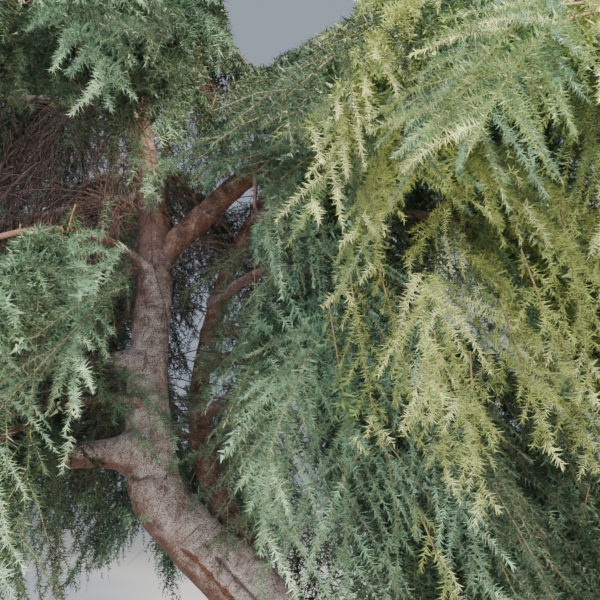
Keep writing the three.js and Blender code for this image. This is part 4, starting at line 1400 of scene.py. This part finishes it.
def growDeadTwigs():
    rng = np.random.default_rng(dead["seed"])
    roots, ways = [], []
    path = deadStem["path"]
    for _ in range(dead["onTangle"]):
        roots.append(path.at(rng.random() ** 0.7))
        ways.append(unit(heading(deadStem["to"]) * 0.6 + rng.normal(size=3) * 0.6 + 0.1 * up))
    for bough in boughs:
        path = bough["path"]
        for _ in range(dead["onLeft"] if bough["name"] in dead["leftBoughs"] else dead["onBough"]):
            share = mix(bough["footRadius"] * 1.5 / path.length, 0.6, rng.random())
            side = np.cross((0, 0, 1), bough["out"]) * rng.choice([-1, 1])
            roots.append(path.at(share))
            ways.append(unit(side * 0.6 + bough["out"] * 0.4 + rng.normal(size=3) * 0.4 - 0.3 * up))
    for _ in range(dead["hanging"]):
        roots.append(np.array([mix(*dead[side], rng.random()) for side in ("across", "depth", "height")]))
        ways.append(unit(np.array([-0.05, 0.0, -0.7]) + rng.normal(size=3) * (0.6, 0.03, 0.35)))
    for name, (count, low, high) in dead["onStems"].items():
        stem = stems[name]
        for _ in range(count):
            share = stem.shareAtHeight(mix(low, high, rng.random()))
            way = heading(mix(-70, 250, rng.random())) + 0.3 * rng.normal() * up
            roots.append(stem.at(share) + unit(way) * float(stem.radius(share)) * 0.8)
            ways.append(unit(way))
    roots, ways = np.array(roots), np.array(ways)
    lengths = mix(*dead["length"], rng.random(len(roots)))
    long = droop(roots, ways, lengths, dead["radius"], dead["parts"], dead["sag"], rng)
    pick = rng.integers(0, dead["parts"], (dead["sideTwigs"], len(roots)))
    share = rng.random(pick.shape)[:, :, None]
    who = np.arange(len(roots))[None].repeat(dead["sideTwigs"], 0)
    sideRoots = mix(long[0][pick, who], long[1][pick, who], share).reshape(-1, 3)
    onward = unit(long[1][pick, who] - long[0][pick, who]).reshape(-1, 3)
    sideWays = unit(onward + rng.normal(size=onward.shape) * 0.6)
    sideLengths = mix(*dead["sideLength"], rng.random(len(sideRoots)))
    short = droop(sideRoots, sideWays, sideLengths, dead["radius"] * dead["sideRadius"], dead["sideParts"],
                  dead["sideSag"], rng)
    starts, ends = [np.concatenate([long[k].reshape(-1, 3), short[k].reshape(-1, 3)]) for k in (0, 1)]
    thick = np.concatenate([long[2].ravel(), short[2].ravel()])
    behind = (starts[:, 1] > dead["showsFrom"]) & (ends[:, 1] > dead["showsFrom"])
    keep = ~(shutOut(starts, behind) | shutOut(ends, behind))
    return prisms(starts[keep], ends[keep], thick[keep], thick[keep] * 0.8)


corners, faces = growDeadTwigs()
deadMaterial = twigMaterial("deadTwigSkin", "#675550", 0.92)
for piece in prismPieces("deadTwigs", corners, faces, deadMaterial):
    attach(piece, "root")
    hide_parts("dead_twigs")
print("dead twigs:", len(faces), "triangles")


# Floor and light

studio = {
    "floorSide": 60,
    "floorColour": "#dcdad4",
    "skyColour": "#d3e2f6",
    "skyStrength": 0.52,
}

bm = bmesh.new()
bmesh.ops.create_grid(bm, x_segments=4, y_segments=4, size=studio["floorSide"] / 2)
floorMesh = bpy.data.meshes.new("studioFloor")
bm.to_mesh(floorMesh)
bm.free()
floorLook = {"Base Color": linear(studio["floorColour"]), "Roughness": 0.9}
floorPaint, _, _ = newMaterial("palePaintedFloor", floorLook)
floorMesh.materials.append(floorPaint)
floor = addObject("studioFloor", floorMesh)

world = bpy.data.worlds.new("studioSky")
world.use_nodes = True
background = world.node_tree.nodes["Background"]
background.inputs["Color"].default_value = linear(studio["skyColour"])
background.inputs["Strength"].default_value = studio["skyStrength"]
bpy.context.scene.world = world

# name, place, what it points at, side in metres, watts, colour
lights = [
    ("keyFromRight", (6.4, -6.2, 7.8), (0.3, -0.6, 2.4), 1.0, 4250, "#fff0d6"),
    ("fillFromLeft", (-6.0, -6.0, 3.6), (-1.3, -0.6, 1.7), 4.0, 640, "#eef2ff"),
    ("fillInFront", (-1.2, -6.5, 1.4), (-1.1, 0.0, 1.9), 2.5, 180, "#f8f4ff"),
    ("backLight", (-1.0, 8.0, 7.5), (-0.6, 0.5, 3.0), 6.0, 450, "#f4f6ff"),
]
for name, place, aim, side, watts, colour in lights:
    lamp = bpy.data.lights.new(name, "AREA")
    lamp.shape = "SQUARE"
    lamp.size = side
    lamp.energy = watts
    lamp.color = linear(colour)[:3]
    holder = addObject(name, lamp)
    holder.location = place
    holder.rotation_euler = (Vector(aim) - Vector(place)).to_track_quat("-Z", "Y").to_euler()
print("studio lit")
